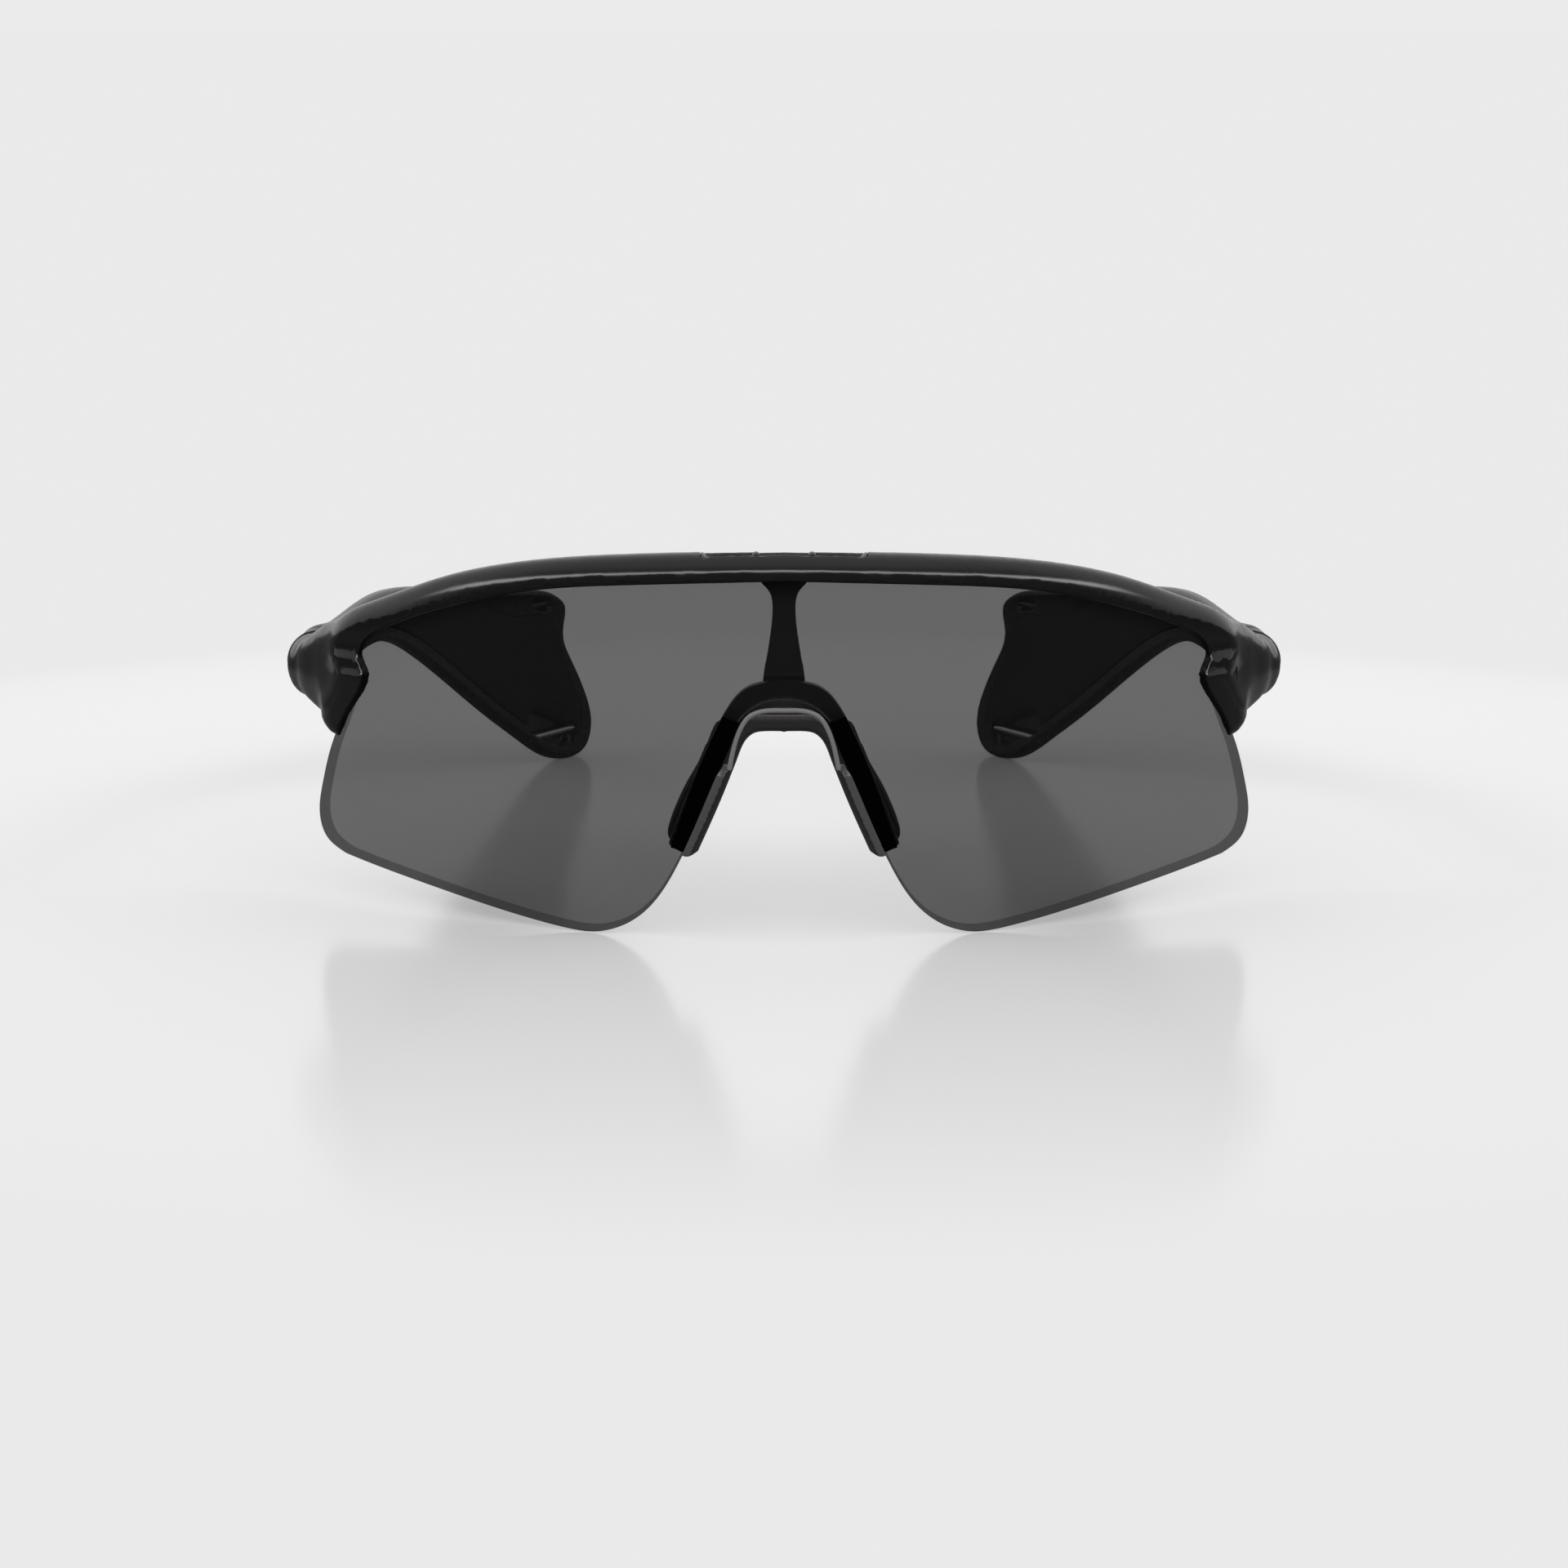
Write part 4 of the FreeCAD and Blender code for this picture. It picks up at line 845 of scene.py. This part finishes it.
def screw_tree(material):
    """Geometry nodes that set a row of machine screws, heads up before they are turned."""
    tree = bpy.data.node_groups.new("machine screws", "GeometryNodeTree")
    sockets = [("Head Radius", "NodeSocketFloat"), ("Head Height", "NodeSocketFloat"),
               ("Shaft Radius", "NodeSocketFloat"), ("Shaft Length", "NodeSocketFloat"),
               ("Count", "NodeSocketInt"), ("Start", "NodeSocketVector"), ("Step", "NodeSocketVector"),
               ("Turn", "NodeSocketVector")]
    for name, kind in sockets:
        tree.interface.new_socket(name, in_out="INPUT", socket_type=kind)
    tree.interface.new_socket("Screws", in_out="OUTPUT", socket_type="NodeSocketGeometry")
    given = tree.nodes.new("NodeGroupInput").outputs
    result = tree.nodes.new("NodeGroupOutput")

    def node(kind, settings=(), **links):
        made = tree.nodes.new(kind)
        for name, value in settings:
            setattr(made, name, value)
        for name, value in links.items():
            target = made.inputs[name.replace("_", " ")]
            if isinstance(value, (int, float, tuple)):
                target.default_value = value
            else:
                tree.links.new(value, target)
        return made

    def scaled(value, factor):
        made = node("ShaderNodeMath", [("operation", "MULTIPLY")])
        tree.links.new(value, made.inputs[0])
        made.inputs[1].default_value = factor
        return made.outputs[0]

    def raised(value):
        return node("ShaderNodeCombineXYZ", Z=value).outputs["Vector"]

    rim = node("GeometryNodeMeshCylinder", Vertices=40, Radius=given["Head Radius"],
               Depth=scaled(given["Head Height"], 0.7))
    rim = node("GeometryNodeTransform", Geometry=rim.outputs["Mesh"],
               Translation=raised(scaled(given["Head Height"], 0.35)))
    bevel = node("GeometryNodeMeshCone", Vertices=40, Radius_Top=scaled(given["Head Radius"], 0.84),
                 Radius_Bottom=given["Head Radius"], Depth=scaled(given["Head Height"], 0.3))
    bevel = node("GeometryNodeTransform", Geometry=bevel.outputs["Mesh"],
                 Translation=raised(scaled(given["Head Height"], 0.7)))
    recess = node("GeometryNodeMeshCylinder", Vertices=6, Radius=scaled(given["Head Radius"], 0.5),
                  Depth=scaled(given["Head Height"], 1.2))
    recess = node("GeometryNodeTransform", Geometry=recess.outputs["Mesh"],
                  Translation=raised(scaled(given["Head Height"], 1.05)))
    shaft = node("GeometryNodeMeshCylinder", Vertices=32, Radius=given["Shaft Radius"],
                 Depth=given["Shaft Length"])
    shaft = node("GeometryNodeTransform", Geometry=shaft.outputs["Mesh"],
                 Translation=raised(scaled(given["Shaft Length"], -0.499)))
    whole = node("GeometryNodeMeshBoolean", [("operation", "UNION"), ("solver", "EXACT")])
    for part in (rim, bevel, shaft):
        tree.links.new(part.outputs["Geometry"], whole.inputs["Mesh 2"])
    drilled = node("GeometryNodeMeshBoolean", [("operation", "DIFFERENCE"), ("solver", "EXACT")],
                   Mesh_1=whole.outputs["Mesh"], Mesh_2=recess.outputs["Geometry"])
    turned = node("GeometryNodeTransform", Geometry=drilled.outputs["Mesh"], Rotation=given["Turn"])
    row = node("GeometryNodeMeshLine", Count=given["Count"], Start_Location=given["Start"],
               Offset=given["Step"])
    placed = node("GeometryNodeInstanceOnPoints", Points=row.outputs["Mesh"],
                  Instance=turned.outputs["Geometry"])
    real = node("GeometryNodeRealizeInstances", Geometry=placed.outputs["Instances"])
    finished = node("GeometryNodeSetMaterial", Geometry=real.outputs["Geometry"])
    finished.inputs["Material"].default_value = material
    tree.links.new(finished.outputs["Geometry"], result.inputs[0])
    return tree


screws = screw_tree(bright_steel)


def set_screws(name, node, values):
    """Runs the screw nodes once and keeps the plain mesh for one body."""
    holder = bpy.data.objects.new(name + "_nodes", bpy.data.meshes.new(name + "_nodes"))
    bpy.context.scene.collection.objects.link(holder)
    modifier = holder.modifiers.new("screws", "NODES")
    modifier.node_group = screws
    for item in screws.interface.items_tree:
        if item.in_out == "INPUT":
            modifier[item.identifier] = values[item.name]
    bpy.context.view_layer.update()
    mesh = bpy.data.meshes.new_from_object(holder.evaluated_get(bpy.context.evaluated_depsgraph_get()))
    bpy.data.objects.remove(holder)
    piece = bpy.data.objects.new(name, mesh)
    bpy.context.scene.collection.objects.link(piece)
    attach(piece, "front")
    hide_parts(node)


SMALL_HEAD = (0.95 * MM, 0.5 * MM, 0.5 * MM)
HINGE_HEAD = (1.3 * MM, 0.7 * MM, 0.75 * MM)


def screw_values(node, sizes, count, upward):
    """The inputs for screws that fill the box of a CAD node, heads at its back or at its foot."""
    low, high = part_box(node)
    head_radius, head_height, shaft_radius = sizes
    if upward:
        start = ((low.x + high.x) / 2, (low.y + high.y) / 2, low.z + head_height)
        length = high.z - low.z - head_height
        turn = (pi, 0.0, 0.0)
    else:
        start = (low.x + head_radius, high.y - head_height, (low.z + high.z) / 2)
        length = high.y - low.y - head_height
        turn = (-pi / 2, 0.0, 0.0)
    step = (high.x - low.x - 2 * head_radius, 0.0, 0.0)
    return {"Head Radius": head_radius, "Head Height": head_height, "Shaft Radius": shaft_radius,
            "Shaft Length": length, "Count": count, "Start": start, "Step": step, "Turn": turn}


set_screws("stalk_screw_pair", "stalk_screws",
           screw_values("stalk_screws", SMALL_HEAD, 2, False))
set_screws("yoke_screw_single", "yoke_screw",
           screw_values("yoke_screw", SMALL_HEAD, 1, False))
for side in ("left", "right"):
    node = "hinge_screw_" + side
    set_screws("hinge_pivot_screw_" + side, node, screw_values(node, HINGE_HEAD, 1, True))

# ---------------------------------------- temple arms
# Fin-shaped nylon arms, thin and bowed round the head, with a rounded front end that closes over the
# hinge bulb, and two pockets in the tail with a steel bar across each for a cord.

TEMPLE_BOW_RADIUS = 236.0
TEMPLE_HALF = 1.2
HEAD_RADIUS = 4.85
HEAD_HALF_LENGTH = 17.0
LINER_SUNK = 0.35
TAIL_SKIN = 0.5
ARM_TOP = [(47.0, 37.6), (66.0, 37.8), (84.0, 38.5), (101.0, 37.3), (122.0, 34.3), (142.6, 31.2),
           (149.0, 29.8), (152.3, 27.0), (151.6, 22.8), (153.6, 18.0), (157.6, 11.2), (159.2, 4.8),
           (157.6, 1.2), (152.6, 0.0), (146.4, 1.8), (140.9, 4.9), (130.4, 10.9), (118.9, 17.4),
           (102.7, 25.4), (91.6, 29.3), (83.3, 30.7), (70.0, 30.5), (47.0, 30.0)]
LINER_RING = [(62.0, 33.9), (70.0, 35.9), (84.0, 36.4), (101.0, 35.2), (122.0, 32.1), (140.4, 27.0),
              (147.6, 25.6), (149.4, 22.4), (151.6, 17.2), (155.2, 10.4), (156.2, 5.6), (154.0, 2.7),
              (148.0, 3.3), (142.0, 6.6), (131.5, 12.8), (120.0, 19.3), (103.9, 27.4), (92.2, 31.4),
              (83.3, 32.9), (70.0, 32.5)]
STRAP_SLOT = ((147.3, 6.3), 13.6, 4.2, -21.0)
TIP_SLOT = ((144.9, 28.3), 5.4, 1.9, -12.0)

arm_outline = outline_field(closed_outline([[(47.0, 30.0), (47.0, 37.6)], ARM_TOP], 0.6), 0.2)
liner_outline = outline_field(ring_outline(LINER_RING), 0.2)


def temple_out(x, y):
    """How far a point is outside the temple's middle surface."""
    return np.hypot(x - HINGE_X + TEMPLE_BOW_RADIUS, y - HINGE_Y + 3.5) - TEMPLE_BOW_RADIUS


def long_slot(y, z, slot):
    """Distance to a slot with round ends, in the side view."""
    (middle_y, middle_z), length, height, tilt = slot
    turn = radians(tilt)
    along = (y - middle_y) * cos(turn) + (z - middle_z) * sin(turn)
    across = -(y - middle_y) * sin(turn) + (z - middle_z) * cos(turn)
    along = np.maximum(np.abs(along) - (length - height) / 2, 0)
    return np.hypot(along, across) - height / 2


def arm_shape(x, y, z):
    out = temple_out(x, y)
    blade = joined_corner(np.abs(out) - TEMPLE_HALF, arm_outline(y, z), 0.9)
    head = egg(x, y, z, (HINGE_X, HINGE_Y, HINGE_Z), (HEAD_RADIUS, HEAD_HALF_LENGTH, HEAD_RADIUS))
    body = blended(blade, head, 3.0)
    body = joined_corner(body, HINGE_Y + 3.4 - y, 0.45)
    bulb_room = egg(x, y, z, (HINGE_X, HINGE_Y, HINGE_Z), (BULB_RADIUS + 0.3, BULB_RADIUS + 0.3,
                                                           BULB_HALF_HEIGHT + 0.3))
    body = joined_corner(body, -bulb_room, 0.2)
    leaf_room = block(x, y, z, (HINGE_X - 1.05, HINGE_X + 1.05), (HINGE_Y, HINGE_Y + 13.05),
                      (HINGE_Z - 1.55, HINGE_Z + 1.55))
    body = np.maximum(body, -leaf_room)
    liner_room = np.maximum(liner_outline(y, z), out + TEMPLE_HALF - LINER_SUNK)
    body = np.maximum(body, -liner_room)
    pockets = np.minimum(long_slot(y, z, STRAP_SLOT), long_slot(y, z, TIP_SLOT))
    pockets = joined_corner(pockets, out - TEMPLE_HALF + TAIL_SKIN, 0.3)
    return joined_corner(body, -pockets, 0.35)


def liner_shape(x, y, z):
    out = temple_out(x, y)
    layer = np.abs(out + TEMPLE_HALF - LINER_SUNK + 0.25) - 0.25
    body = joined_corner(liner_outline(y, z) + 0.05, layer, 0.12)
    slots = np.minimum(long_slot(y, z, STRAP_SLOT), long_slot(y, z, TIP_SLOT)) - 0.5
    return joined_corner(body, -slots, 0.1)


temple_black = gloss_plastic("temple nylon", (0.0025, 0.0025, 0.0027), 0.25, 0.3)
liner_rubber = soft_rubber("liner rubber", (0.003, 0.003, 0.003), 3600.0, 0.002)
for side, mirror in (("left", False), ("right", True)):
    arm = cast("temple_blade_" + side, arm_shape, (32, 41, -2), (77, 161, 41), 0.42, temple_black, mirror)
    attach(arm, "temple_" + side)
    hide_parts("temple_arm_" + side)
    liner = cast("temple_lining_" + side, liner_shape, (32, 60, 0), (70, 159, 39), 0.3, liner_rubber, mirror)
    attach(liner, "temple_" + side)
    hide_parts("temple_liner_" + side)
    finish_node("strap_bar_" + side, bright_steel)
    finish_node("tip_bar_" + side, dark_steel)

# ---------------------------------------- studio
# A pale table of lit opal sheet, polished where the piece stands, under a soft light tent: bright
# above and behind, dimmer in front, with one long strip of light high in front that draws the crisp
# edge of the brow.

FLOOR_HALF = 60.0
FLOOR_PAINT = 0.472
FLOOR_IN_GLOSS = 0.06
POLISH_ENDS = (0.08, 0.24)
POLISH_LEVEL = 0.2
FLOOR_GLOW = 0.5
UNDER_POLISH = 0.06
floor_mesh = bpy.data.meshes.new("table_top")
floor_corners = [(x * FLOOR_HALF, y * FLOOR_HALF, 0) for x, y in ((-1, -1), (1, -1), (1, 1), (-1, 1))]
floor_mesh.from_pydata(floor_corners, [], [[0, 1, 2, 3]])
floor = bpy.data.objects.new("table_top", floor_mesh)
bpy.context.scene.collection.objects.link(floor)
floor_paint, floor_tree, floor_shader = start_material("pale table", (FLOOR_PAINT,) * 3, 0.16, 0.5)
# the polish is fresh where the piece stands and dull further out
floor_place = floor_tree.nodes.new("ShaderNodeTexCoord")
floor_reach = floor_tree.nodes.new("ShaderNodeVectorMath")
floor_reach.operation = "LENGTH"
floor_tree.links.new(floor_place.outputs["Object"], floor_reach.inputs[0])
polish = floor_tree.nodes.new("ShaderNodeMapRange")
polish.interpolation_type = "SMOOTHSTEP"
polish.inputs["From Min"].default_value = POLISH_ENDS[0]
polish.inputs["From Max"].default_value = POLISH_ENDS[1]
polish.inputs["To Min"].default_value = POLISH_LEVEL
polish.inputs["To Max"].default_value = 0.0
floor_tree.links.new(floor_reach.outputs["Value"], polish.inputs["Value"])
floor_tree.links.new(polish.outputs["Result"], floor_shader.inputs["Specular IOR Level"])
floor_under = floor_tree.nodes.new("ShaderNodeMath")
floor_under.operation = "MULTIPLY_ADD"
floor_tree.links.new(polish.outputs["Result"], floor_under.inputs[0])
floor_under.inputs[1].default_value = -FLOOR_PAINT * UNDER_POLISH / POLISH_LEVEL
floor_under.inputs[2].default_value = FLOOR_PAINT
# painted reflection: to glossy rays the table shows a dark grey, so the glossy parts reflect a darker floor
# than the camera sees
floor_rays = floor_tree.nodes.new("ShaderNodeLightPath")
floor_tone_and_painted_reflection = floor_tree.nodes.new("ShaderNodeMix")
floor_tone_and_painted_reflection.data_type = "RGBA"
floor_tree.links.new(floor_under.outputs["Value"], floor_tone_and_painted_reflection.inputs["A"])
floor_tone_and_painted_reflection.inputs["B"].default_value = (FLOOR_IN_GLOSS, FLOOR_IN_GLOSS, FLOOR_IN_GLOSS, 1)
floor_tree.links.new(floor_rays.outputs["Is Glossy Ray"], floor_tone_and_painted_reflection.inputs["Factor"])
floor_tree.links.new(floor_tone_and_painted_reflection.outputs["Result"], floor_shader.inputs["Base Color"])
floor_tree.links.new(floor_tone_and_painted_reflection.outputs["Result"], floor_shader.inputs["Emission Color"])
floor_shader.inputs["Emission Strength"].default_value = FLOOR_GLOW
floor_mesh.materials.append(floor_paint)

world = bpy.data.worlds.new("light tent")
bpy.context.scene.world = world
world.use_nodes = True
sky = world.node_tree
background = sky.nodes["Background"]


def sky_node(kind, **values):
    node = sky.nodes.new(kind)
    for name, value in values.items():
        if name == "operation":
            node.operation = value
        else:
            node.inputs[name.replace("_", " ")].default_value = value
    return node


def sky_range(source, from_min, from_max, to_min, to_max):
    node = sky_node("ShaderNodeMapRange", From_Min=from_min, From_Max=from_max, To_Min=to_min, To_Max=to_max)
    sky.links.new(source, node.inputs["Value"])
    return node.outputs["Result"]


def sky_math(operation, first, second):
    node = sky_node("ShaderNodeMath", operation=operation)
    for index, value in enumerate((first, second)):
        if isinstance(value, float):
            node.inputs[index].default_value = value
        else:
            sky.links.new(value, node.inputs[index])
    return node.outputs["Value"]


PALE = 0.83
direction = sky_node("ShaderNodeTexCoord")
way = sky_node("ShaderNodeSeparateXYZ")
sky.links.new(direction.outputs["Generated"], way.inputs["Vector"])
from_front = sky_range(way.outputs["Y"], -0.5, 0.15, 0.22, 1.0)
overhead = sky_range(way.outputs["Z"], 0.55, 0.95, 0.0, 1.0)
tent = sky_math("MAXIMUM", from_front, overhead)
tent = sky_math("MULTIPLY", tent, PALE)
strip_low = sky_range(way.outputs["Z"], 0.42, 0.5, 0.0, 1.0)
strip_high = sky_range(way.outputs["Z"], 0.66, 0.58, 0.0, 1.0)
strip_front = sky_range(way.outputs["Y"], 0.15, -0.15, 0.0, 1.0)
strip = sky_math("MULTIPLY", sky_math("MULTIPLY", strip_low, strip_high), strip_front)
tent = sky_math("ADD", tent, sky_math("MULTIPLY", strip, 7.0))
seen = sky_node("ShaderNodeLightPath")
glow = sky_node("ShaderNodeMix")
sky.links.new(seen.outputs["Is Camera Ray"], glow.inputs["Factor"])
sky.links.new(tent, glow.inputs["A"])
glow.inputs["B"].default_value = PALE
sky.links.new(glow.outputs["Result"], background.inputs["Strength"])
background.inputs["Color"].default_value = (1, 1, 1, 1)

camera_data = bpy.data.cameras.new("camera")
camera_data.lens = 99.2
camera_data.sensor_width = 36.0
camera = bpy.data.objects.new("camera", camera_data)
bpy.context.scene.collection.objects.link(camera)
camera.location = (0.0, cad_box[0][1] - 0.5912, 0.1286)
camera.rotation_euler = (radians(90 - 10.039), 0, 0)
bpy.context.scene.camera = camera
bpy.context.scene.view_settings.view_transform = "Standard"
